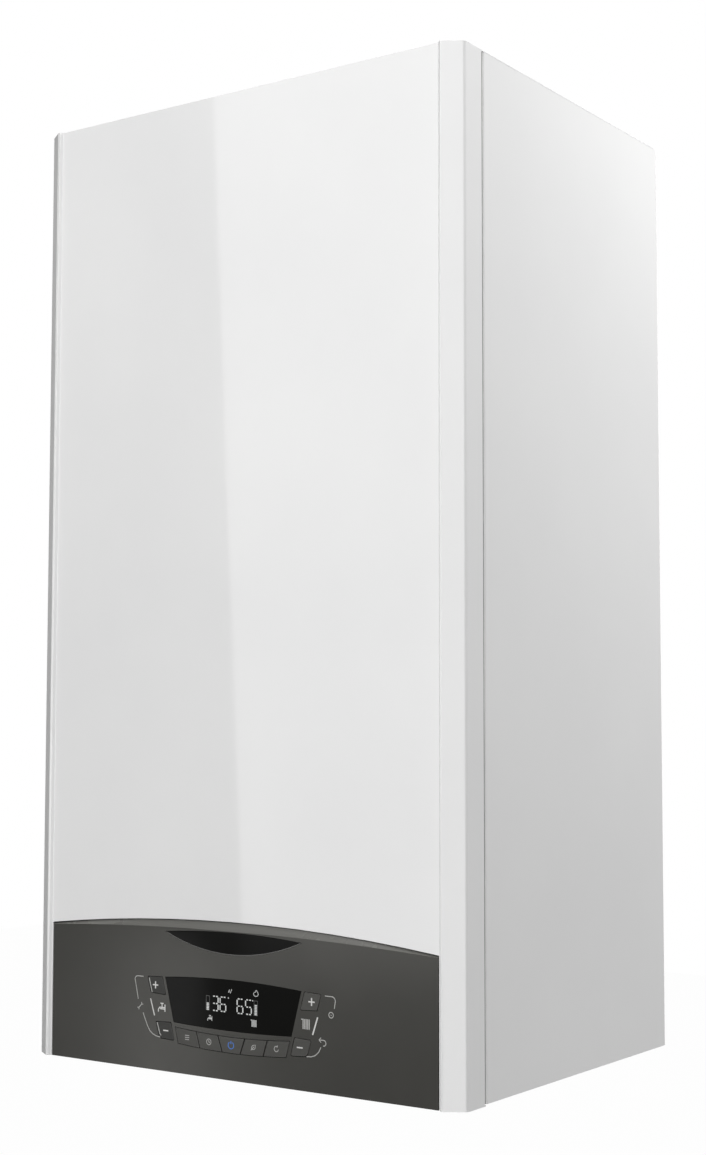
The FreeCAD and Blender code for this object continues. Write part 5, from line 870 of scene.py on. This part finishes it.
@dataclass(frozen=True)
class SoftBox:
    """A soft box of the studio.

    Attributes:
        name: Name of the light.
        place: Its middle in metres.
        aim: Point that it faces.
        size: Width and height in metres.
        radiance: Brightness of its face, where 1 is white.
        lean: Turn about its own axis in degrees.
        mirrored: Whether glossy surfaces show it.
    """
    name: str
    place: Point
    aim: Point
    size: Spot
    radiance: float
    lean: float = 0.0
    mirrored: bool = True

    def hang(self) -> None:
        """Adds the light to the scene."""
        lamp = bpy.data.lights.new(self.name, "AREA")
        lamp.shape = "RECTANGLE"
        lamp.size, lamp.size_y = self.size
        lamp.energy = self.radiance * math.pi * self.size[0] * self.size[1]
        holder = bpy.data.objects.new(self.name, lamp)
        direction = Vector(self.aim) - Vector(self.place)
        turn = direction.to_track_quat("-Z", "Y").to_matrix().to_4x4()
        lean = Matrix.Rotation(math.radians(self.lean), 4, "Z")
        holder.matrix_world = Matrix.Translation(self.place) @ turn @ lean
        holder.visible_camera = False
        holder.visible_glossy = self.mirrored
        bpy.context.scene.collection.objects.link(holder)


def matte(name: str, tone: float, specular: float = 0.5) -> bpy.types.Material:
    """Matte paint of the studio.

    Args:
        name: Name of the material.
        tone: Grey of the paint.
        specular: Level of its plain reflection.

    Returns:
        The material.
    """
    material = bpy.data.materials.new(name)
    material.use_nodes = True
    NodeSheet(material.node_tree).feed(material.node_tree.nodes["Principled BSDF"], {
        "Base Color": (tone, tone, tone, 1), "Roughness": 0.9, "Specular IOR Level": specular})
    return material


@dataclass(frozen=True)
class DarkCard:
    """A dark upright card of the studio that only reflections and soft light meet.

    Attributes:
        name: Name of the card.
        place: Its middle in metres.
        size: Width and height in metres.
        turn: Turn about the upright in degrees, 0 for a card that faces the front panel.
        tone: Grey of its paint.
    """
    name: str
    place: Point
    size: Spot
    turn: float = 0.0
    tone: float = 0.03

    def stand(self) -> None:
        """Adds the card to the scene."""
        Workpiece.clear()
        upright = (math.pi / 2, 0, math.radians(self.turn))
        bpy.ops.mesh.primitive_plane_add(size=1, location=self.place, rotation=upright)
        card = bpy.context.object
        card.name = self.name
        card.scale = (*self.size, 1)
        card.visible_camera = False
        card.data.materials.append(matte(self.name, self.tone))


@dataclass
class Studio:
    """White studio: camera, soft lights, dark cards and floor.

    Attributes:
        azimuth: Camera's turn to the right of the front in degrees.
        elevation: Camera's height angle in degrees.
        roll: Camera's own turn in degrees.
        stand: Camera's place in metres.
        focal_pixels: Focal length in pixels of the picture.
        picture_height: Height of the picture in pixels.
        floor_drop: Floor below the casing in metres.
        floor_size: Length of the floor's sides in metres.
        floor_tone: Grey of its paint.
        floor_white: How much of plain white the camera sees in place of the paint.
        ambient: Light of the surroundings, where 1 is white.
        boxes: The soft boxes.
        cards: The dark cards.
    """
    azimuth: float = 34.816
    elevation: float = -4.274
    roll: float = 0.098
    stand: Point = (0.8687, -1.4083, -0.4331)
    focal_pixels: float = 1857.0
    picture_height: float = 1155.0
    floor_drop: float = 1.1
    floor_size: float = 16.0
    floor_tone: float = 0.86
    floor_white: float = 0.985
    ambient: float = 0.15
    boxes: tuple[SoftBox, ...] = (
        SoftBox("front_box", (-0.33, -2.315, 0.45), (-0.33, 0, 0.45), (2.6, 2.65), 1.77, 3.0),
        SoftBox("camera_box", (1.78, -2.17, 0.25), (0.2, -0.3, 0.25), (0.62, 3.1), 2.0),
        SoftBox("low_card", (-1.77, -2.3, -1.5), (-1.77, 0, -1.5), (0.22, 1.24), 2.4),
        SoftBox("key_box", (0.6, -1.2, 1.6), (0.1, -0.3, -0.2), (1.2, 1.0), 3.5, mirrored=False),
        SoftBox("rim_box", (0.9, 0.4, 0.6), (0.2, -0.05, -0.05), (0.5, 0.6), 12.5, mirrored=False),
        SoftBox("rear_box", (-2.4, 1.0, 0.5), (-0.1, 0, -0.3), (1.6, 2.0), 3.2, mirrored=False),
    )
    cards: tuple[DarkCard, ...] = (
        DarkCard("front_card", (-1.6, -2.6, -0.8), (3.4, 4.0)),
        DarkCard("right_card", (2.4, -0.75, -0.1), (1.5, 2.2), 90),
        DarkCard("left_card", (-2.3, 0.55, -0.2), (0.8, 2.8), 90),
    )

    def camera(self) -> None:
        """Adds the camera at the photograph's view."""
        turn, rise, roll = (math.radians(angle) for angle in (self.azimuth, self.elevation, self.roll))
        back = Vector((math.sin(turn) * math.cos(rise), -math.cos(turn) * math.cos(rise), math.sin(rise)))
        right = (-back).cross(Vector((0, 0, 1))).normalized()
        up = right.cross(-back)
        lens = bpy.data.cameras.new("camera")
        lens.sensor_width = 36.0
        lens.lens = self.focal_pixels / self.picture_height * lens.sensor_width
        eye = bpy.data.objects.new("camera", lens)
        across = math.cos(roll) * right + math.sin(roll) * up
        upright = math.cos(roll) * up - math.sin(roll) * right
        facing = Matrix((across, upright, back)).transposed().to_4x4()
        eye.matrix_world = Matrix.Translation(self.stand) @ facing
        bpy.context.scene.collection.objects.link(eye)
        bpy.context.scene.camera = eye

    @staticmethod
    def seen_white(sheet: NodeSheet) -> bpy.types.NodeSocket:
        """Socket that is 1 on rays that show the background: camera, glossy and transmission rays."""
        path = sheet.add("ShaderNodeLightPath")
        first = sheet.math("MAXIMUM", path.outputs["Is Camera Ray"], path.outputs["Is Glossy Ray"])
        return sheet.math("MAXIMUM", first, path.outputs["Is Transmission Ray"])

    def world(self) -> None:
        """Makes the surroundings: white to look at, grey as light."""
        world = bpy.data.worlds.new("studio")
        world.use_nodes = True
        bpy.context.scene.world = world
        sheet = NodeSheet(world.node_tree)
        white = self.seen_white(sheet)
        strength = sheet.add("ShaderNodeMapRange", {"Value": white, "To Min": self.ambient})
        sheet.feed(world.node_tree.nodes["Background"],
                   {"Color": (1, 1, 1, 1), "Strength": strength.outputs[0]})

    def floor(self) -> None:
        """Adds a pale floor well below the casing that the camera sees almost white."""
        Workpiece.clear()
        level = CAD_BOX[0].z - self.floor_drop
        bpy.ops.mesh.primitive_plane_add(size=self.floor_size, location=(0, 0, level))
        ground = bpy.context.object
        ground.name = "floor"
        material = matte("floor", self.floor_tone, 0.0)
        sheet = NodeSheet(material.node_tree)
        nodes = material.node_tree.nodes
        paint = nodes["Principled BSDF"].outputs[0]
        light = sheet.add("ShaderNodeEmission", {"Color": (1, 1, 1, 1)}).outputs[0]
        share = sheet.math("MULTIPLY", self.seen_white(sheet), self.floor_white)
        mixed = sheet.add("ShaderNodeMixShader", {0: share, 1: paint, 2: light})
        sheet.feed(nodes["Material Output"], {"Surface": mixed.outputs[0]})
        ground.data.materials.append(material)

    def build(self) -> None:
        """Sets up the whole studio."""
        bpy.context.scene.view_settings.view_transform = "Standard"
        self.camera()
        self.world()
        self.floor()
        for card in self.cards:
            card.stand()
        for box in self.boxes:
            box.hang()


@dataclass
class Assembly:
    """A group of CAD nodes that get a skin with rounded edges.

    Attributes:
        edges: Width of the edge rounding of each node in metres.
    """
    edges: dict[str, float]

    def skins(self) -> dict[str, Workpiece]:
        """Gives each node its skin and returns the skins by node."""
        return {node: self.skin(node, width) for node, width in self.edges.items()}

    def skin(self, node: str, width: float, finish: Finish | None = None) -> Workpiece:
        """Gives one node a merged skin with rounded edges.

        Args:
            node: Name of the CAD node.
            width: Width of the rounding in metres, 0 for none.
            finish: Finish in place of the slot's own.

        Returns:
            The piece.
        """
        piece = Workpiece.copy_of(node)
        if width:
            piece.soften(width)
        piece.smooth()
        slot = SLOT_OF[node]
        return piece.finish(BODY_OF[node], finish or FINISH_OF_SLOT[slot], slot, node)


@dataclass
class Casing(Assembly):
    """White sheet casing with its frame, rail and seal.

    Attributes:
        top: Level of the top sheet in millimetres.
        port_top: Level of the blanked air ports.
        adaptor_top: Level of the flue collar's plate.
        flue_row: Y of the ports' and the collar's middles.
        rail_foot: Level of the connection rail's underside.
        crossbar_face: Y of the front crossbar's face.
        crossbar_level: Level of its screws.
        rim_depth: Depth of the grey front rims.
    """
    top: float = 45.0
    port_top: float = 46.5
    adaptor_top: float = 48.0
    flue_row: float = -130.0
    rail_foot: float = -682.0
    crossbar_face: float = -282.5
    crossbar_level: float = -569.6
    # rim_depth: Depth of the front rims that are painted grey, a painted shade in the seam.
    rim_depth: float = 0.3

    def build(self) -> None:
        """Dresses the casing, with the front rims painted grey as a painted shade in the seam round the
        cover.
        """
        skins = self.skins()
        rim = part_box("right_side_panel")[0].y + self.rim_depth * MM
        for node in ("left_side_panel", "right_side_panel", "top_panel"):
            # The front rim faces are painted grey: painted shade in the seam.
            skins[node].dress(lambda place, normal: normal.y < -0.9 and place.y < rim, SEAM_PAINTED_SHADE)
        self.screws()

    def screws(self) -> None:
        """Fixes the screws of the top sheet, the air ports, the flue collar, the crossbar and the rail."""
        plain, small = Fastener(), Fastener(2.6 * MM, 1.6 * MM)
        sheet = [(side * 187, y, self.top) for side in (-1, 1) for y in (-22, -142, -262)]
        plain.fix("top_screws", Axis.UP, sheet)
        left, right = ((x, self.flue_row, self.port_top) for x in (-125, 125))
        ports = spread(left, 31, Axis.UP, 3, 90) + spread(right, 31, Axis.UP, 3, 90)
        small.fix("port_screws", Axis.UP, ports)
        collar = spread((0, self.flue_row, self.adaptor_top), 57, Axis.UP, 4, 45)
        plain.fix("collar_screws", Axis.UP, collar)
        bar = [(x, self.crossbar_face, self.crossbar_level) for x in (-160, -60, 60, 165)]
        plain.fix("crossbar_screws", Axis.FRONT, bar)
        rail = [(x, y, self.rail_foot) for x in (-178, 178) for y in (-25, -130)]
        plain.fix("rail_screws", Axis.DOWN, rail)


@dataclass
class ControlPanel(Assembly):
    """Dark tilting panel with display, keys and printed signs.

    Attributes:
        fascia_face: Y of the fascia's face in metres.
        key_face: Y of the keys' faces.
        window_face: Y of the display window's face.
        digit: Width and height of a figure on the display in millimetres.
        arch_foot: Height above the casing's foot from which the fascia's up-facing faces are painted
            lighter, a painted highlight.
        switch_face: Y in front of which the display board carries switches.
        chip_face: Y behind which the main board carries components.
        lid_face: Y of the back of the control box's cover.
    """
    fascia_face: float = -315.8 * MM
    key_face: float = -316.0 * MM
    window_face: float = -315.5 * MM
    digit: Spot = (5.4, 10.4)
    arch_foot: float = 86.0
    switch_face: float = -306.0
    chip_face: float = -280.0
    lid_face: float = -238.0

    def build(self) -> None:
        """Dresses the panel."""
        skins = self.skins()
        arch = FOOT + self.arch_foot * MM
        switches, chips = self.switch_face * MM, self.chip_face * MM
        # The fascia's up-facing faces under the arch get the lighter grey: a painted highlight.
        skins["panel_fascia"].dress(lambda place, normal: normal.z > 0.12 and place.z > arch, FASCIA_PAINTED_HIGHLIGHT)
        # The emblem's down-facing lower edge gets the grey: a painted highlight.
        skins["emblem_plate"].dress(lambda place, normal: -0.95 < normal.z < -0.2, EMBLEM_PAINTED_HIGHLIGHT)
        skins["display_board"].dress(lambda place, normal: place.y < switches, COMPONENT_BLACK)
        skins["main_board"].dress(lambda place, normal: place.y > chips, COMPONENT_BLACK)
        self.keys()
        self.signs()
        self.display()
        lid = [(x, self.lid_face, z) for x in (-160, 160) for z in (-688, -625)]
        Fastener().fix("box_screws", Axis.BACK, lid, "control_panel")

    def keys(self) -> None:
        """Dresses the keys and prints a sign on each."""
        signs = {
            "water_plus_key": (Pictogram.PLUS, 2.7, -1.0), "water_minus_key": (Pictogram.MINUS, 2.5, 0.9),
            "heating_plus_key": (Pictogram.PLUS, 2.8, 0.9),
            "heating_minus_key": (Pictogram.MINUS, 2.6, -0.8),
            "menu_key": (Pictogram.MENU, 2.0, 0.0), "clock_key": (Pictogram.CLOCK, 2.1, 0.0),
            "power_key": (Pictogram.POWER, 2.7, 0.0), "eco_key": (Pictogram.LEAF, 2.1, 0.0),
            "reset_key": (Pictogram.RESET, 2.1, 0.0),
        }
        lines = {"water_plus_key": [(-79.9, 67.4), (-76.9, 56.8)],
                 "water_minus_key": [(-71.5, 34.6), (-68.9, 26.6), (-67.6, 25.2)]}
        for node, (sign, half, aside) in signs.items():
            # The water keys get the darker copy of the key grey: painted shade.
            self.skin(node, 0.5 * MM, KEY_PAINTED_SHADE if node.startswith("water") else KEY_GREY)
            low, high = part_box(node)
            middle = (low + high) / 2
            bold = sign in (Pictogram.PLUS, Pictogram.MINUS)
            # The power sign's blue print glows: painted light.
            ink = PRINT_WHITE if bold else PRINT_BLUE_PAINTED_GLOW if sign is Pictogram.POWER else PRINT_PALE
            mark = Marking(node + "_sign", self.key_face, (1.1 if bold else 0.6) * MM)
            mark.figure(sign, (middle.x + aside * MM, middle.z), half * MM)
            mark.piece(BODY_OF[node], ink, "fascia_plastic")
            if node in lines:
                edge = Marking(node + "_line", self.key_face, 0.9 * MM).line(lines[node])
                edge.piece(BODY_OF[node], PRINT_PALE, "fascia_plastic")

    def signs(self) -> None:
        """Prints the brackets, side lines and signs on the fascia."""
        fine = Marking("fascia_brackets", self.fascia_face, 0.75 * MM)
        fine.line([(-85.9, 67.9)] + bow(-91.6, 64.9, 3.0, 90, 165, 6) + [(-91.0, 50.5)])
        fine.line([(-86.0, 40.6), (-81.6, 31.4), (-79.2, 27.9), (-76.2, 25.6), (-72.6, 24.3),
                   (-68.6, 23.8)])
        fine.line([(85.2, 67.8)] + bow(91.2, 64.6, 3.1, 85, 0, 6) + [(93.4, 59.4)])
        fine.line([(81.8, 31.3), (79.8, 27.6), (76.6, 24.9), (73.0, 23.7), (69.2, 23.5)])
        for sign, x, z, half in ((Pictogram.WRENCH, -88.9, 45.5, 2.6), (Pictogram.SELECT, 90.6, 54.7, 2.0),
                                 (Pictogram.BACK, 83.2, 35.0, 3.1)):
            fine.figure(sign, spot(x, z), half * MM)
        fine.piece("control_panel", PRINT_PALE, "fascia_plastic")
        bold = Marking("fascia_side_lines", self.fascia_face, 1.1 * MM)
        bold.line([(-78.6, 51.9), (-74.5, 39.5)])
        bold.line([(78.8, 52.1), (74.4, 39.3)], 1.2)
        bold.figure(Pictogram.TAP, spot(-67.4, 46.3), 3.6 * MM, 0.8)
        bold.piece("control_panel", PRINT_WHITE, "fascia_plastic")
        ribs = Marking("fascia_radiator_sign", self.fascia_face, 0.9 * MM)
        ribs.figure(Pictogram.RADIATOR, spot(67.9, 46.4), 3.7 * MM)
        ribs.piece("control_panel", PRINT_PALE, "fascia_plastic")

    def display(self) -> None:
        """Lights the figures, level bars and signs of the display."""
        lit = Marking("display_figures", self.window_face, MM)
        for number, x in (("3", -18.2), ("6", -10.9), ("6", 5.2), ("5", 13.1)):
            self.figure(lit, number, x, 48.4)
        for x in (-2.9, 19.8):
            lit.line([(x - 0.5, 58.6), (x + 0.3, 58.6)])
        dim = Marking("display_frames", self.window_face, 0.5 * MM)
        for x, stripes in ((-24.2, 5), (21.0, 7)):
            dim.line([(x, 48.2), (x + 3.2, 48.2), (x + 3.2, 58.7), (x, 58.7), (x, 48.2)])
            for stripe in range(stripes):
                lit.line([(x + 0.5, 48.8 + 1.1 * stripe), (x + 2.7, 48.8 + 1.1 * stripe)], 0.95)
        for sign, x, z, half in ((Pictogram.FLAME, 22.6, 64.2, 2.3), (Pictogram.TAP, -20.6, 42.6, 2.2),
                                 (Pictogram.RADIATOR, 20.6, 42.4, 2.6), (Pictogram.PULSE, -1.4, 63.8, 1.9)):
            lit.figure(sign, spot(x, z), half * MM, 0.55)
        lit.piece("control_panel", DISPLAY_LIGHT, "gloss_black", 0.06 * MM)
        dim.piece("control_panel", DISPLAY_DIM, "gloss_black", 0.06 * MM)

    def figure(self, lit: Marking, number: str, x: float, z: float) -> None:
        """Adds a seven-segment figure.

        Args:
            lit: Sign that takes the strokes.
            number: The figure.
            x: Its left edge in millimetres.
            z: Its foot in millimetres above the casing's foot.
        """
        width, height = self.digit
        right, middle, top, gap = x + width, z + height / 2, z + height, 0.7
        upright = {"b": (right, middle, top), "c": (right, z, middle), "e": (x, z, middle),
                   "f": (x, middle, top)}
        level = {"a": top, "d": z, "g": middle}
        for segment in {"3": "abcdg", "5": "acdfg", "6": "acdefg"}[number]:
            if segment in level:
                half = width / 2
                for start in (x, x + half):
                    lit.line([(start + gap, level[segment]), (start + half - gap / 2, level[segment])])
            else:
                side, low, high = upright[segment]
                lit.line([(side, low + gap), (side, high - gap)])


@dataclass
class Burner(Assembly):
    """Heat exchanger, burner door, fan, gas valve and ignition.

    Attributes:
        axis_x: X of the exchanger's and the fan's middle in millimetres.
        axis_z: Level of the exchanger's middle.
        door_face: Y of the burner door's face.
        fan: Y and level of the fan's middle.
        nut_circle: Radius of the circle of the door's nuts.
        duct_ring: Y and radius of the circle of the duct's front screws.
        duct_plate: Level of the duct's foot plate.
        scroll: X and radius of the circle of the fan housing's screws.
        motor: X and radius of the circle of the fan motor's screws.
        valve_face: Y of the gas valve's face.
        igniter_face: Y of the spark generator's face.
        gasket_row: Y of the door gasket's middle.
        boot_foot: Place of the electrode boot's foot.
    """
    axis_x: float = -55.0
    axis_z: float = -170.0
    door_face: float = -252.0
    fan: Spot = (-234.0, -372.0)
    nut_circle: float = 82.0
    duct_ring: Spot = (-260.5, 23.6)
    duct_plate: float = -293.0
    scroll: Spot = (-30.0, 62.0)
    motor: Spot = (-128.0, 27.0)
    valve_face: float = -268.0
    igniter_face: float = -280.5
    gasket_row: float = -240.0
    boot_foot: Point = (-3.0, -289.0, -165.0)

    def build(self) -> None:
        """Dresses the burner side."""
        self.skins()
        self.screws()
        self.gasket()
        self.boot()

    def screws(self) -> None:
        """Fixes the nuts of the door and the screws of the duct, the fan, the gas valve and the igniter."""
        plain, small = Fastener(), Fastener(2.5 * MM, 2.0 * MM)
        door = (self.axis_x, self.door_face, self.axis_z)
        nuts = spread(door, self.nut_circle, Axis.FRONT, 8, 45)
        Fastener(6.0 * MM, 5.0 * MM, True).fix("door_nuts", Axis.FRONT, nuts)
        row, circle = self.duct_ring
        ring = spread((self.axis_x, row, self.axis_z), circle, Axis.FRONT, 4, 45)
        small.fix("duct_ring_screws", Axis.FRONT, ring)
        plate = [(self.axis_x + side * 22, y, self.duct_plate) for side in (-1, 1) for y in (-302, -262)]
        plain.fix("duct_plate_screws", Axis.UP, plate)
        for name, (x, circle), axis, count, start in (("fan_screws", self.scroll, Axis.RIGHT, 6, 10),
                                                      ("fan_motor_screws", self.motor, Axis.LEFT, 3, 90)):
            plain.fix(name, axis, spread((x, *self.fan), circle, axis, count, start))
        valve = [(x, self.valve_face, z) for x in (-22, 20) for z in (-470, -418)]
        plain.fix("gas_valve_screws", Axis.FRONT, valve)
        igniter = [(x, self.igniter_face, z) for x, z in ((100, -521), (140, -552))]
        plain.fix("igniter_screws", Axis.FRONT, igniter)

    def gasket(self) -> None:
        """Lays the door's gasket round its rim."""
        profile = [(106, -1.0), (108.4, -1.0), (109.0, 0), (108.4, 1.0), (106, 1.0), (106, -1.0)]
        ring = Workpiece.lathe("door_gasket", profile, 64)
        ring.place(turned_to(Axis.FRONT, Vector((self.axis_x, self.gasket_row, self.axis_z)) * MM))
        ring.smooth().finish("chassis", RUBBER, "rubber")

    def boot(self) -> None:
        """Pulls the rubber boot over the ignition electrode and the end of its lead."""
        profile = [(3.1, 0), (4.2, 0), (4.4, 2), (5.0, 3), (4.6, 5), (5.4, 7), (5.0, 9), (5.8, 11),
                   (6.2, 20), (6.8, 21.5), (6.8, 25), (5.1, 25), (5.1, 24), (3.1, 24), (3.1, 0)]
        boot = Workpiece.lathe("electrode_boot", profile, 24)
        boot.place(turned_to(Axis.BACK, Vector(self.boot_foot) * MM))
        boot.smooth().finish("chassis", RUBBER, "rubber")


@dataclass
class FlueSide(Assembly):
    """Flue pipe, condensate sump, hose and trap.

    Attributes:
        clamps: Place of the foot of each hose clamp in millimetres.
    """
    clamps: tuple[Point, Point] = ((-107, -116, -330), (-165, -58, -566))

    def build(self) -> None:
        """Dresses the flue side and closes the hose clamps."""
        self.skins()
        profile = [(8.9, 0), (9.8, 0), (10.1, 0.5), (9.6, 1.2), (9.6, 6.8), (10.1, 7.5), (9.8, 8), (8.9, 8),
                   (8.9, 0)]
        for number, place in enumerate(self.clamps):
            band = Workpiece.lathe(f"hose_clamp_{number}", profile, 40)
            ear = Workpiece.block(f"clamp_ear_{number}", (9 * MM, -4 * MM, 1 * MM),
                                  (15 * MM, 4 * MM, 7 * MM))
            ear.pick(lambda place, normal: normal.y < -0.9).inset(1.2 * MM, -1.0 * MM)
            ear.pick(lambda place, normal: normal.y > 0.9).inset(1.5 * MM).extrude((0, 2 * MM, 0))
            ear.soften(0.4 * MM)
            band.take([ear]).place(Matrix.Translation(Vector(place) * MM))
            band.smooth().finish("chassis", SCREW_STEEL, "galvanised")


@dataclass
class WaterSide(Assembly):
    """Pump, blocks, pipes, vessel and valves.

    Attributes:
        pipe_ends: X and radius of each threaded pipe end in millimetres.
        end_row: Y of the row of pipe ends.
        end_foot: Level of their feet.
        pitch: Pitch of their thread.
        turns: Turns of their thread.
        pump: Middle of the circle of the pump's screws.
        pump_circle: Radius of that circle.
    """
    pipe_ends: tuple[Spot, ...] = ((-130, 13.22), (-65, 10.48), (0, 13.22), (65, 10.48), (130, 13.22))
    end_row: float = -110.0
    end_foot: float = -721.9
    pitch: float = 1.814
    turns: int = 11
    pump: Point = (132.0, -161.6, -552.0)
    pump_circle: float = 45.4

    def build(self) -> None:
        """Dresses the water side, cuts the threads and fixes the pump's screws."""
        self.skins()
        self.threads()
        pump = spread(self.pump, self.pump_circle, Axis.FRONT, 4, 45)
        Fastener(2.2 * MM, 2.4 * MM).fix("pump_screws", Axis.FRONT, pump)

    def threads(self) -> None:
        """Puts a threaded brass sleeve on each pipe end."""
        for number, (x, radius) in enumerate(self.pipe_ends):
            root, crest = radius + 0.05, radius + 0.6
            profile = [(radius - 0.6, 0), (root, 0)]
            for turn in range(self.turns):
                foot = 0.4 + turn * self.pitch
                profile += [(root, foot), (crest, foot + 0.7), (crest, foot + 0.95), (root, foot + 1.65)]
            head = 0.6 + self.turns * self.pitch
            profile += [(root, head), (radius - 0.6, head), (radius - 0.6, 0)]
            sleeve = Workpiece.lathe(f"pipe_thread_{number}", profile, 40)
            sleeve.place(Matrix.Translation(Vector((x, self.end_row, self.end_foot)) * MM))
            sleeve.smooth(25).finish("chassis", BRASS, "brass")


def main() -> None:
    """Builds the boiler's looks and the studio around it."""
    logging.basicConfig(level=logging.INFO, format="%(message)s")
    Studio().build()
    thin, plain, wide = 0.25 * MM, 0.5 * MM, 1.0 * MM
    Casing({"front_cover": 0.0, "left_side_panel": thin, "right_side_panel": thin, "top_panel": thin,
            "back_frame": thin, "front_crossbar": thin, "connection_rail": thin, "hinge_brackets": thin,
            "cover_seal": thin, "cable_gland": plain}).build()
    ControlPanel({"panel_fascia": thin, "emblem_plate": 0.45 * MM, "display_window": thin,
                  "display_board": 0.0, "control_box": plain, "control_box_cover": plain,
                  "main_board": thin}).build()
    Burner({"heat_exchanger_shell": plain, "burner_door": wide, "burner_tube": plain, "electrodes": plain,
            "spark_generator": plain, "ignition_lead": 0.0, "fan_housing": wide, "fan_motor": plain,
            "fan_impeller": 0.0, "mixture_duct": plain, "venturi": plain, "gas_valve": plain,
            "gas_pipe": thin, "air_silencer": plain}).build()
    FlueSide({"condensate_sump": plain, "flue_pipe": 0.0, "flue_adaptor": plain, "flue_centre_tube": plain,
              "condensate_trap": plain, "condensate_hose": 0.0}).build()
    WaterSide({"expansion_vessel": plain, "flow_pipe": 0.0, "return_pipe": 0.0, "flow_block": plain,
               "diverter_spindle": thin, "diverter_motor": plain, "plate_heat_exchanger": thin,
               "return_block": plain, "pump_motor": plain, "pump_impeller": 0.0, "water_pipes": thin,
               "safety_valve": plain, "safety_knob": plain, "filling_knob": plain}).build()


if __name__ == "__main__":
    main()
